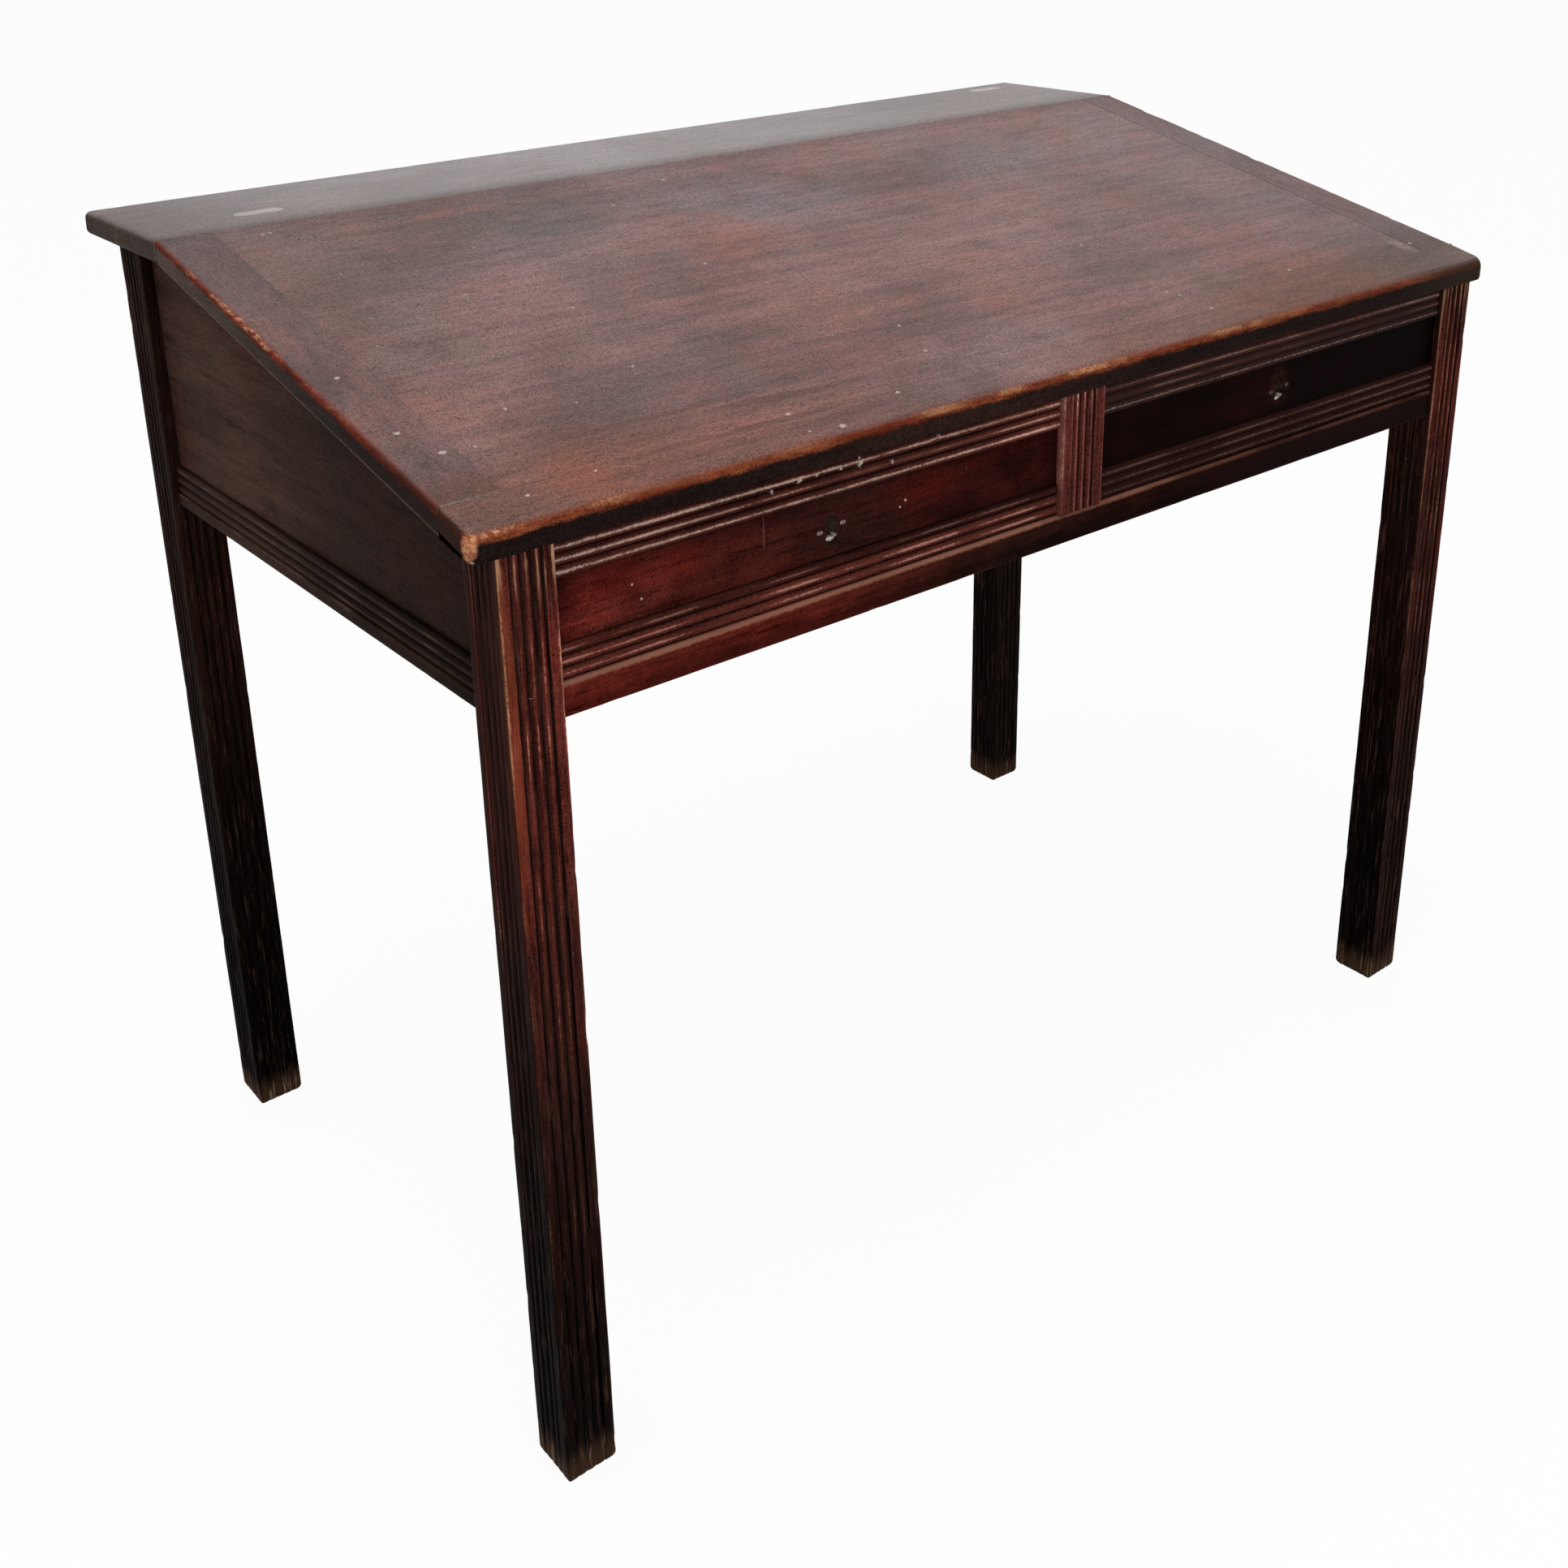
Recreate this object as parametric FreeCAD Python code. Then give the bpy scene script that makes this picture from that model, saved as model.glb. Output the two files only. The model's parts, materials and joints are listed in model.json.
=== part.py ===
import FreeCAD, Part
import os

V = FreeCAD.Vector

# A writing desk with a flat back board and a sloping writing top, two drawers side by side
# and four reeded square legs. Millimetres, X to the right, Y to the back, Z up.
# The origin lies on the floor under the middle of the top.

# Top
top_width = 1080.0
top_depth = 634.0
flat_depth = 163.0
front_height = 770.0
slope_rise = 107.0
top_thickness = 20.0
side_overhang = 18.0
front_overhang = 3.0
back_overhang = 24.0
edge_round = 4.0
cleat_width = 47.0
front_strip_depth = 38.0

# Pale wood patches let into the flat board
patch_length = 43.0
patch_width = 16.0
patch_depth = 4.0
left_patch_from_end = 107.0
left_patch_from_back = 112.0
right_patch_from_end = 62.0
right_patch_from_back = 30.0

# Legs, with three reeds between two flat fillets on each face
leg_size = 43.0
leg_reed_pitch = 8.0
leg_reed_depth = 2.2
groove_lip = 0.9
arris_round = 1.4

# Rails and panels between the legs
apron_height = 122.0
front_rail_height = 25.0
front_rail_recess = 2.5
front_rail_round = 3.0
side_lip_height = 10.0
side_rail_recess = 5.5
side_moulding_recess = 6.5
panel_recess = 11.0
panel_thickness = 10.0
panel_tongue = 6.0
tenon_shoulder = 5.0
top_rail_depth = 30.0
stile_width = 45.0

# Reeded strips on the drawers and on the sides
strip_reed_pitch = 8.4
strip_reed_depth = 2.2
strip_thickness = 6.0

# Drawers
drawer_gap = 0.8
drawer_back_space = 74.0
strip_recess = 3.5
field_recess = 6.0
drawer_front_thickness = 18.0
top_rail_overlap = 22.0
drawer_side_thickness = 10.0
drawer_bottom_thickness = 6.0
drawer_bottom_rise = 6.0
drawer_groove = 5.0
tail_length = 12.0
tail_count = 3

# Strips that carry, guide and hold down the drawers
runner_width = 24.0
runner_thickness = 16.0
guide_rise = 14.0
kicker_thickness = 16.0
block_size = 18.0
block_length = 40.0

# Drawer locks
keyhole_radius = 4.8
keyhole_slot = 8.0
keyhole_drop = 13.5
keyhole_above_middle = 4.0
lock_width = 56.0
lock_thickness = 11.0
lock_case_top_gap = 5.0
bolt_width = 18.0
bolt_thickness = 4.0
bolt_height = 20.0
bolt_travel = 11.0
bolt_clearance = 0.35
mortise_spare = 3.0
screw_radius = 1.5
screw_head_radius = 3.0
screw_head_height = 1.4
screw_bite = 8.0
screw_inset = 5.5
screw_clearance = 0.15

# Places that follow from the sizes above
half_width = top_width / 2
front_y = -top_depth / 2
back_y = top_depth / 2
joint_y = back_y - flat_depth
back_height = front_height + slope_rise
fall = slope_rise / (joint_y - front_y)
leg_out_x = half_width - side_overhang
leg_in_x = leg_out_x - leg_size
leg_front_y = front_y + front_overhang
leg_back_y = back_y - back_overhang
front_leg_rear_y = leg_front_y + leg_size
back_leg_fore_y = leg_back_y - leg_size
rail_thickness = leg_size / 2
tenon_length = leg_size * 0.35
rail_bottom = front_height - top_thickness - apron_height
rail_top = rail_bottom + front_rail_height
front_rail_y = leg_front_y + front_rail_recess
strip_height = 3 * strip_reed_pitch
side_rail_top = rail_bottom + side_lip_height + strip_height
side_rail_in_x = leg_out_x - side_rail_recess - rail_thickness
panel_in_x = leg_out_x - panel_recess - panel_thickness
back_rail_fore_y = leg_back_y - side_rail_recess - rail_thickness
back_panel_fore_y = leg_back_y - panel_recess - panel_thickness
stile_half = stile_width / 2
field_y = leg_front_y + field_recess
strip_y = leg_front_y + strip_recess
strip_back_y = strip_y + strip_thickness
front_back_y = field_y + drawer_front_thickness
drawer_in_x = stile_half + drawer_gap
drawer_out_x = leg_in_x - drawer_gap
drawer_middle_x = (drawer_in_x + drawer_out_x) / 2
drawer_bottom_z = rail_top + drawer_gap
drawer_top_z = front_height - top_thickness - drawer_gap
drawer_back_y = back_rail_fore_y - drawer_back_space
top_rail_y = front_back_y + drawer_gap
top_rail_back_y = top_rail_y + top_rail_depth
top_rail_bottom = drawer_top_z - top_rail_overlap
side_top_z = top_rail_bottom - drawer_gap
keyhole_z = (drawer_bottom_z + drawer_top_z) / 2 + keyhole_above_middle
lock_height = (side_top_z - drawer_bottom_z) / 2
lock_top_z = top_rail_bottom - lock_case_top_gap
far = 4 * max(top_width, top_depth, back_height)


def box(x0, x1, y0, y1, z0, z1):
    return Part.makeBox(x1 - x0, y1 - y0, z1 - z0, V(x0, y0, z0))


def extrude_wire(edges, path):
    return Part.Face(Part.Wire(edges)).extrude(path)


def prism_x(outline, x0, x1):
    """A closed outline of (y, z) points carried along X."""
    points = [V(x0, y, z) for y, z in outline]
    return Part.Face(Part.makePolygon(points + points[:1])).extrude(V(x1 - x0, 0, 0))


def mirrored(shape):
    return shape.mirror(V(0, 0, 0), V(1, 0, 0))


def cut_all(shape, cutters):
    for cutter in cutters:
        shape = shape.cut(cutter)
    return shape


def save(name, shape):
    shape.exportStep("parts/" + name + ".step")


def top_z(y):
    """Height of the upper surface of the top."""
    return back_height - fall * max(0.0, joint_y - y)


def under_z(y):
    return top_z(y) - top_thickness


underside = [(y, under_z(y)) for y in (-far, joint_y, far)]
above_underside = prism_x(underside + [(far, 2 * far), (-far, 2 * far)], -far, far)


def slope_board(x0, x1, y0, y1):
    """A board of the sloping top, with upright ends."""
    return prism_x([(y0, under_z(y0)), (y1, under_z(y1)), (y1, top_z(y1)), (y0, top_z(y0))], x0, x1)


def round_edges(shape, radius, wanted):
    """Rounds the edges whose middle point passes the test."""
    chosen = [e for e in shape.Edges if wanted(e.CenterOfMass)]
    return shape.makeFillet(radius, chosen)


def close_to(a, b):
    return abs(a - b) < 0.01


# The flat board at the back and its two patches


def patch(x, y):
    """A low plug with half-round ends, its top level with the flat board."""
    half = patch_length / 2 - patch_width / 2
    low = back_height - patch_depth
    plug = box(x - half, x + half, y - patch_width / 2, y + patch_width / 2, low, back_height)
    for side in (-1, 1):
        plug = plug.fuse(Part.makeCylinder(patch_width / 2, patch_depth, V(x + side * half, y, low)))
    return plug.removeSplitter()


patch_left = patch(-half_width + left_patch_from_end, back_y - left_patch_from_back)
patch_right = patch(half_width - right_patch_from_end, back_y - right_patch_from_back)
flat_board = box(-half_width, half_width, joint_y, back_y, back_height - top_thickness, back_height)
flat_board = round_edges(flat_board, edge_round, lambda c: not close_to(c.y, joint_y))
flat_board = cut_all(flat_board, [patch_left, patch_right])

# The sloping top: a wide panel, a cleat at each end and a strip along the front
strip_rear_y = front_y + front_strip_depth
panel_half = half_width - cleat_width
slope_panel = slope_board(-panel_half, panel_half, strip_rear_y, joint_y)
cleat_right = slope_board(panel_half, half_width, strip_rear_y, joint_y)
cleat_middle_y = (strip_rear_y + joint_y) / 2
cleat_right = round_edges(
    cleat_right, edge_round, lambda c: close_to(c.x, half_width) and close_to(c.y, cleat_middle_y)
)
cleat_left = mirrored(cleat_right)
front_strip = slope_board(-half_width, half_width, front_y, strip_rear_y)
front_strip = round_edges(front_strip, edge_round, lambda c: not close_to(c.y, strip_rear_y))

# Reeded faces


def reeded_run(start, along, inward, length, pitch, depth, lip):
    """Edges of one reeded face, from one end of its straight length to the other."""
    first = (length - 3 * pitch) / 2
    points = [start, start + along * (first - lip), start + along * first + inward * depth]
    edges = [Part.makeLine(points[0], points[1]), Part.makeLine(points[1], points[2])]
    for reed in range(3):
        a = start + along * (first + reed * pitch) + inward * depth
        b = start + along * (first + (reed + 0.5) * pitch)
        c = start + along * (first + (reed + 1) * pitch) + inward * depth
        edges.append(Part.Arc(a, b, c).toShape())
    last = first + 3 * pitch
    rim = start + along * (last + lip)
    edges.append(Part.makeLine(start + along * last + inward * depth, rim))
    edges.append(Part.makeLine(rim, start + along * length))
    return edges


def leg_outline(x0, y0, z, reeded):
    """A square with rounded arrises; reeded says which of front, right, back and left have reeds."""
    x1 = x0 + leg_size
    y1 = y0 + leg_size
    corners = [V(x0, y0, z), V(x1, y0, z), V(x1, y1, z), V(x0, y1, z)]
    edges = []
    for side in range(4):
        here = corners[side]
        there = corners[(side + 1) % 4]
        along = (there - here).normalize()
        inward = V(-along.y, along.x, 0)
        start = here + along * arris_round
        end = there - along * arris_round
        if reeded[side]:
            run = leg_size - 2 * arris_round
            edges += reeded_run(start, along, inward, run, leg_reed_pitch, leg_reed_depth, groove_lip)
        else:
            edges.append(Part.makeLine(start, end))
        centre = end + inward * arris_round
        middle = centre + (there - centre).normalize() * arris_round
        edges.append(Part.Arc(end, middle, there + inward * arris_round).toShape())
    return edges


def leg(x0, y0, outer_faces):
    """Reeds on all four faces below the rails, on the two outer faces above."""
    lower = extrude_wire(leg_outline(x0, y0, 0, [True] * 4), V(0, 0, rail_bottom))
    upper = extrude_wire(leg_outline(x0, y0, rail_bottom, outer_faces), V(0, 0, far))
    return lower.fuse(upper.cut(above_underside)).removeSplitter()


def strip_outline(face, back, low, to_point):
    """Outline of a strip with three reeds, from its back round the front."""
    groove = face + strip_reed_depth if back > face else face - strip_reed_depth
    edges = [Part.makeLine(to_point(back, low), to_point(groove, low))]
    for reed in range(3):
        z = low + reed * strip_reed_pitch
        a = to_point(groove, z)
        b = to_point(face, z + strip_reed_pitch / 2)
        c = to_point(groove, z + strip_reed_pitch)
        edges.append(Part.Arc(a, b, c).toShape())
    high = low + strip_height
    edges.append(Part.makeLine(to_point(groove, high), to_point(back, high)))
    edges.append(Part.makeLine(to_point(back, high), to_point(back, low)))
    return edges


# The front: a bottom rail, a top rail behind the drawer fronts and a reeded stile between the drawers
front_rail = box(-leg_in_x, leg_in_x, front_rail_y, front_rail_y + rail_thickness, rail_bottom, rail_top)
front_rail = round_edges(
    front_rail, front_rail_round, lambda c: close_to(c.y, front_rail_y) and close_to(c.z, rail_top)
)
front_tenon = box(
    -leg_in_x - tenon_length,
    leg_in_x + tenon_length,
    front_rail_y + tenon_shoulder,
    front_rail_y + rail_thickness - tenon_shoulder,
    rail_bottom + tenon_shoulder,
    rail_top - tenon_shoulder,
)
front_rail = front_rail.fuse(front_tenon).removeSplitter()

stile_left = V(-stile_half, leg_front_y, rail_top)
stile_right = V(stile_half, leg_front_y, rail_top)
stile_rear_right = V(stile_half, top_rail_y, rail_top)
stile_rear_left = V(-stile_half, top_rail_y, rail_top)
stile_edges = reeded_run(
    stile_left, V(1, 0, 0), V(0, 1, 0), stile_width, leg_reed_pitch, leg_reed_depth, groove_lip
)
stile_edges.append(Part.makeLine(stile_right, stile_rear_right))
stile_edges.append(Part.makeLine(stile_rear_right, stile_rear_left))
stile_edges.append(Part.makeLine(stile_rear_left, stile_left))
stile = extrude_wire(stile_edges, V(0, 0, far)).cut(above_underside)

bolt_y = front_back_y + lock_thickness / 2
bolt_reach = bolt_travel - lock_case_top_gap
top_rail = box(-leg_in_x, leg_in_x, top_rail_y, top_rail_back_y, top_rail_bottom, far).cut(above_underside)
for side in (-1, 1):
    middle = side * drawer_middle_x
    top_rail = top_rail.cut(
        box(
            middle - bolt_width / 2 - drawer_gap,
            middle + bolt_width / 2 + drawer_gap,
            bolt_y - bolt_thickness / 2 - drawer_gap,
            bolt_y + bolt_thickness / 2 + drawer_gap,
            top_rail_bottom,
            top_rail_bottom + bolt_reach + mortise_spare,
        )
    )

# The sides: a rail with a plain lip, a reeded strip above the lip and a plain panel
side_fore_y = front_leg_rear_y
side_rear_y = back_leg_fore_y
lip_top = rail_bottom + side_lip_height
strip_face_x = leg_out_x - side_moulding_recess
strip_rear_x = strip_face_x - strip_thickness
side_rail = box(
    side_rail_in_x, leg_out_x - side_rail_recess, side_fore_y, side_rear_y, rail_bottom, lip_top
)
strip_backing = box(side_rail_in_x, strip_rear_x, side_fore_y, side_rear_y, lip_top, side_rail_top)
side_rail = side_rail.fuse(strip_backing)
side_tenon = box(
    side_rail_in_x + tenon_shoulder,
    leg_out_x - side_rail_recess - tenon_shoulder,
    side_fore_y - tenon_length,
    side_rear_y + tenon_length,
    rail_bottom + tenon_shoulder,
    lip_top,
)
side_rail_right = side_rail.fuse(side_tenon).removeSplitter()
side_strip_right = extrude_wire(
    strip_outline(strip_face_x, strip_rear_x, lip_top, lambda x, z: V(x, side_fore_y, z)),
    V(0, side_rear_y - side_fore_y, 0),
)
side_panel_right = box(
    panel_in_x,
    leg_out_x - panel_recess,
    side_fore_y - panel_tongue,
    side_rear_y + panel_tongue,
    side_rail_top,
    far,
).cut(above_underside)

# The back: a plain rail and a plain panel
back_rail = box(
    -leg_in_x, leg_in_x, back_rail_fore_y, back_rail_fore_y + rail_thickness, rail_bottom, side_rail_top
)
back_tenon = box(
    -leg_in_x - tenon_length,
    leg_in_x + tenon_length,
    back_rail_fore_y + tenon_shoulder,
    back_rail_fore_y + rail_thickness - tenon_shoulder,
    lip_top,
    side_rail_top - tenon_shoulder,
)
back_rail = back_rail.fuse(back_tenon).removeSplitter()
back_panel = box(
    -leg_in_x - panel_tongue,
    leg_in_x + panel_tongue,
    back_panel_fore_y,
    back_panel_fore_y + panel_thickness,
    side_rail_top,
    far,
).cut(above_underside)

# The legs, cut out where the rails and panels enter them
entering = [front_rail, side_rail_right, side_panel_right, back_rail, back_panel]
leg_front_right = cut_all(leg(leg_in_x, leg_front_y, [True, True, False, False]), entering)
leg_back_right = cut_all(leg(leg_in_x, back_leg_fore_y, [False, True, True, False]), entering)
leg_front_left = mirrored(leg_front_right)
leg_back_left = mirrored(leg_back_right)
side_rail_left = mirrored(side_rail_right)
side_strip_left = mirrored(side_strip_right)
side_panel_left = mirrored(side_panel_right)

# Runners under the drawer sides, guides beside them and kickers above them
runner_y = front_rail_y + rail_thickness
runner_low = rail_top - runner_thickness
runner_right = box(leg_in_x - runner_width, leg_in_x, runner_y, back_rail_fore_y, runner_low, rail_top)
runner_left = mirrored(runner_right)
centre_half = stile_half + runner_width
runner_centre = box(-centre_half, centre_half, runner_y, back_rail_fore_y, runner_low, rail_top)
guide_top = rail_top + guide_rise
guide_right = box(leg_in_x, side_rail_in_x, side_fore_y, side_rear_y, runner_low, guide_top)
guide_left = mirrored(guide_right)
guide_centre = box(-stile_half, stile_half, top_rail_y, back_rail_fore_y, rail_top, guide_top)
kicker_high = top_rail_bottom + kicker_thickness
kicker_right = box(
    leg_in_x - runner_width, leg_in_x, top_rail_back_y, back_panel_fore_y, top_rail_bottom, kicker_high
)
kicker_left = mirrored(kicker_right)
kicker_centre = box(
    -centre_half, centre_half, top_rail_back_y, back_panel_fore_y, top_rail_bottom, kicker_high
)

# Glue blocks in the corners under the top
blocks = []
for place in (0.2, 0.5, 0.8):
    y0 = side_fore_y + place * (side_rear_y - side_fore_y) - block_length / 2
    y1 = y0 + block_length
    low = min(under_z(y0), under_z(y1)) - block_size
    block = box(panel_in_x - block_size, panel_in_x, y0, y1, low, far).cut(above_underside)
    blocks += [block, mirrored(block)]
for place in (-0.5, 0.0, 0.5):
    x0 = place * leg_in_x - block_length / 2
    low = back_height - top_thickness - block_size
    blocks.append(
        box(x0, x0 + block_length, back_panel_fore_y - block_size, back_panel_fore_y, low, low + block_size)
    )
glue_blocks = Part.makeCompound(blocks)

# Drawers. Each is drawn on the right and mirrored for the left.


def keyhole(radius, slot, drop, y0, y1):
    """A round hole with a slot below it, through the thickness from y0 to y1."""
    ring = Part.makeCylinder(radius, y1 - y0, V(drawer_middle_x, y0, keyhole_z), V(0, 1, 0))
    half = slot / 2
    leg_of_hole = box(drawer_middle_x - half, drawer_middle_x + half, y0, y1, keyhole_z - drop, keyhole_z)
    return ring.fuse(leg_of_hole)


drawer_bottom = box(
    drawer_in_x + drawer_side_thickness - drawer_groove,
    drawer_out_x - drawer_side_thickness + drawer_groove,
    front_back_y - drawer_groove,
    drawer_back_y,
    drawer_bottom_z + drawer_bottom_rise,
    drawer_bottom_z + drawer_bottom_rise + drawer_bottom_thickness,
)


def drawer_side(x0):
    """A side board with three dovetails at its front end and a groove for the bottom."""
    x1 = x0 + drawer_side_thickness
    side = box(x0, x1, front_back_y, drawer_back_y, drawer_bottom_z, side_top_z)
    pitch = (side_top_z - drawer_bottom_z) / tail_count
    for tail in range(tail_count):
        z = drawer_bottom_z + (tail + 0.5) * pitch
        root = pitch * 0.26
        tip = root + tail_length / 6
        y0 = front_back_y - tail_length
        tails = [(front_back_y, z - root), (y0, z - tip), (y0, z + tip), (front_back_y, z + root)]
        side = side.fuse(prism_x(tails, x0, x1))
    return side.removeSplitter().cut(drawer_bottom)


side_inner = drawer_side(drawer_in_x)
side_outer = drawer_side(drawer_out_x - drawer_side_thickness)
drawer_back = box(
    drawer_in_x + drawer_side_thickness,
    drawer_out_x - drawer_side_thickness,
    drawer_back_y - drawer_side_thickness,
    drawer_back_y,
    drawer_bottom_z + drawer_bottom_rise + drawer_bottom_thickness,
    side_top_z,
)
upper_low = drawer_top_z - strip_height
lower_high = drawer_bottom_z + strip_height


def drawer_strip(low):
    """A reeded strip set into the face of the drawer front."""
    edges = strip_outline(strip_y, strip_back_y, low, lambda y, z: V(drawer_in_x, y, z))
    return extrude_wire(edges, V(drawer_out_x - drawer_in_x, 0, 0))


strip_upper = drawer_strip(upper_low)
strip_lower = drawer_strip(drawer_bottom_z)

# The lock: a case screwed to the back of the drawer front, with a bolt that rises out of it
lock_low_z = lock_top_z - lock_height
lock_back_y = front_back_y + lock_thickness
bolt = box(
    drawer_middle_x - bolt_width / 2,
    drawer_middle_x + bolt_width / 2,
    bolt_y - bolt_thickness / 2,
    bolt_y + bolt_thickness / 2,
    lock_top_z - bolt_height,
    lock_top_z,
)
bolt_way = box(
    drawer_middle_x - bolt_width / 2 - bolt_clearance,
    drawer_middle_x + bolt_width / 2 + bolt_clearance,
    bolt_y - bolt_thickness / 2 - bolt_clearance,
    bolt_y + bolt_thickness / 2 + bolt_clearance,
    lock_top_z - bolt_height - bolt_clearance,
    far,
)
lock_case = box(
    drawer_middle_x - lock_width / 2,
    drawer_middle_x + lock_width / 2,
    front_back_y,
    lock_back_y,
    lock_low_z,
    lock_top_z,
)
lock_case = lock_case.cut(bolt_way)
bolt_fore_y = bolt_y - bolt_thickness / 2
key_way = keyhole(keyhole_radius / 2, keyhole_slot / 2, keyhole_drop * 0.8, front_back_y, bolt_fore_y)
lock_case = lock_case.cut(key_way)

screws = []
screw_ways = []
for across in (-1, 1):
    for height in (lock_low_z + screw_inset, lock_top_z - screw_inset):
        x = drawer_middle_x + across * (lock_width / 2 - screw_inset)
        run = lock_thickness + screw_bite
        foot = V(x, lock_back_y - run, height)
        shank = Part.makeCylinder(screw_radius, run, foot, V(0, 1, 0))
        seat = V(x, lock_back_y, height)
        head = Part.makeCylinder(screw_head_radius, screw_head_height, seat, V(0, 1, 0))
        nick = box(
            x - screw_head_radius,
            x + screw_head_radius,
            lock_back_y + screw_head_height / 2,
            lock_back_y + screw_head_height,
            height - screw_head_radius / 6,
            height + screw_head_radius / 6,
        )
        screws.append(shank.fuse(head).removeSplitter().cut(nick))
        way = screw_radius + screw_clearance
        screw_ways.append(Part.makeCylinder(way, run, foot, V(0, 1, 0)))
lock_screws = Part.makeCompound(screws)
lock_case = cut_all(lock_case, screw_ways)

drawer_front = box(drawer_in_x, drawer_out_x, field_y, front_back_y, drawer_bottom_z, drawer_top_z)
drawer_front = drawer_front.cut(box(-far, far, -far, strip_back_y, upper_low, far))
drawer_front = drawer_front.cut(box(-far, far, -far, strip_back_y, -far, lower_high))
drawer_front = cut_all(drawer_front, [side_inner, side_outer, drawer_bottom] + screw_ways)
drawer_front = drawer_front.cut(keyhole(keyhole_radius, keyhole_slot, keyhole_drop, field_y, front_back_y))

drawer_pieces = {
    "front": drawer_front,
    "upper_strip": strip_upper,
    "lower_strip": strip_lower,
    "inner_side": side_inner,
    "outer_side": side_outer,
    "back": drawer_back,
    "bottom": drawer_bottom,
    "lock_case": lock_case,
    "lock_bolt": bolt,
    "lock_screws": lock_screws,
}

os.makedirs("parts", exist_ok=True)
save("leg_front_left", leg_front_left)
save("leg_front_right", leg_front_right)
save("leg_back_left", leg_back_left)
save("leg_back_right", leg_back_right)
save("flat_board", flat_board)
save("patch_left", patch_left)
save("patch_right", patch_right)
save("slope_panel", slope_panel)
save("slope_cleat_left", cleat_left)
save("slope_cleat_right", cleat_right)
save("slope_front_strip", front_strip)
save("front_bottom_rail", front_rail)
save("front_top_rail", top_rail)
save("centre_stile", stile)
save("side_rail_left", side_rail_left)
save("side_rail_right", side_rail_right)
save("side_reeded_strip_left", side_strip_left)
save("side_reeded_strip_right", side_strip_right)
save("side_panel_left", side_panel_left)
save("side_panel_right", side_panel_right)
save("back_rail", back_rail)
save("back_panel", back_panel)
save("runner_left", runner_left)
save("runner_right", runner_right)
save("runner_centre", runner_centre)
save("guide_left", guide_left)
save("guide_right", guide_right)
save("guide_centre", guide_centre)
save("kicker_left", kicker_left)
save("kicker_right", kicker_right)
save("kicker_centre", kicker_centre)
save("glue_blocks", glue_blocks)
for piece, shape in drawer_pieces.items():
    save("drawer_right_" + piece, shape)
    save("drawer_left_" + piece, mirrored(shape))
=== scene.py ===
# %% [markdown]
# # A writing desk with a sloping top
#
# The object is an old desk of dark stained wood. It has a flat board at the back, a sloping
# writing top, two drawers side by side and four reeded legs, and its edges are worn. A CAD model
# of it is packed already, with joints for the drawers and for the bolts of their locks. This
# lesson loads that model as a fixed frame, carries worn wooden pieces over it and stains them.

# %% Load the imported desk
import json
import math

import bmesh
import bpy
from mathutils import Matrix, Vector, noise


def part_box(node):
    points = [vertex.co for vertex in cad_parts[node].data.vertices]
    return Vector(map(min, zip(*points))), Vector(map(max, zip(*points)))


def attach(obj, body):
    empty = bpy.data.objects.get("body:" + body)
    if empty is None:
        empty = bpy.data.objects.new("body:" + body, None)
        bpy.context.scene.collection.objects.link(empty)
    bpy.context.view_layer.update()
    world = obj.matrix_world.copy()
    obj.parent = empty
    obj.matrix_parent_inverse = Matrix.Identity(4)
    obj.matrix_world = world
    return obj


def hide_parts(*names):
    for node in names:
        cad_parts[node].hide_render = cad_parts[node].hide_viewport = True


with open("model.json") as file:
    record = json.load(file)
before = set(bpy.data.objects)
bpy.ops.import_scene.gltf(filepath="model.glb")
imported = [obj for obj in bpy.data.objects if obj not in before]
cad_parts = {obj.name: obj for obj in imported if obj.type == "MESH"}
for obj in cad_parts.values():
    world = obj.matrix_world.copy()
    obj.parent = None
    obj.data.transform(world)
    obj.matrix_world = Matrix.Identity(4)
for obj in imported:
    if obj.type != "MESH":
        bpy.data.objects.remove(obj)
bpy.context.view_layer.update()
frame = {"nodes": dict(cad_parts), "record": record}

scene = bpy.context.scene

# %% [markdown]
# ## The camera
#
# The photograph was taken by someone standing at the left front corner and looking down a
# little. A camera could be placed by eye, but edges of known length give it more surely: the
# numbers below are a fit to the desk's corners. The picture was cut out of a larger one, so the
# lens needs a shift as well as a direction.

# %% Stand the camera
eye = Vector((-1.017194, -1.230881, 1.164376))
heading, dip, tilt = (math.radians(a) for a in (37.362, -20.493, -1.474))
ahead = Vector((math.sin(heading) * math.cos(dip), math.cos(heading) * math.cos(dip), math.sin(dip)))
level = Vector((math.cos(heading), -math.sin(heading), 0))
plumb = ahead.cross(level)
right = math.cos(tilt) * level - math.sin(tilt) * plumb
down = math.sin(tilt) * level + math.cos(tilt) * plumb
camera = bpy.data.objects.new("camera", bpy.data.cameras.new("camera"))
camera.matrix_world = Matrix.Translation(eye) @ Matrix((right, -down, -ahead)).transposed().to_4x4()
camera.data.sensor_width = 36
camera.data.lens = 41.92
camera.data.shift_x = 0.0146
camera.data.shift_y = -0.1758
scene.collection.objects.link(camera)
scene.camera = camera
print("camera stands", round(eye.length, 2), "m from the middle of the floor")

# %% [markdown]
# ## Shader sums as ordinary sums
#
# A finish is a net of nodes, and wiring them one by one hides the idea. Here a small class
# wraps one socket and gives it plus, minus, times and so on, so that `1 - mask` reads as it
# should and adds its Math node by itself. Every other node comes from one method, which takes
# the node's type, its settings and what goes into its sockets.

# %% A socket that can be added and multiplied
def math_node(operation, turned=False):
    """An operator of Wire that adds one Math node."""
    def operate(self, other=0.0):
        first, second = (other, self) if turned else (self, other)
        return self.net.node("Math", {"operation": operation}, {0: first, 1: second})
    return operate


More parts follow.
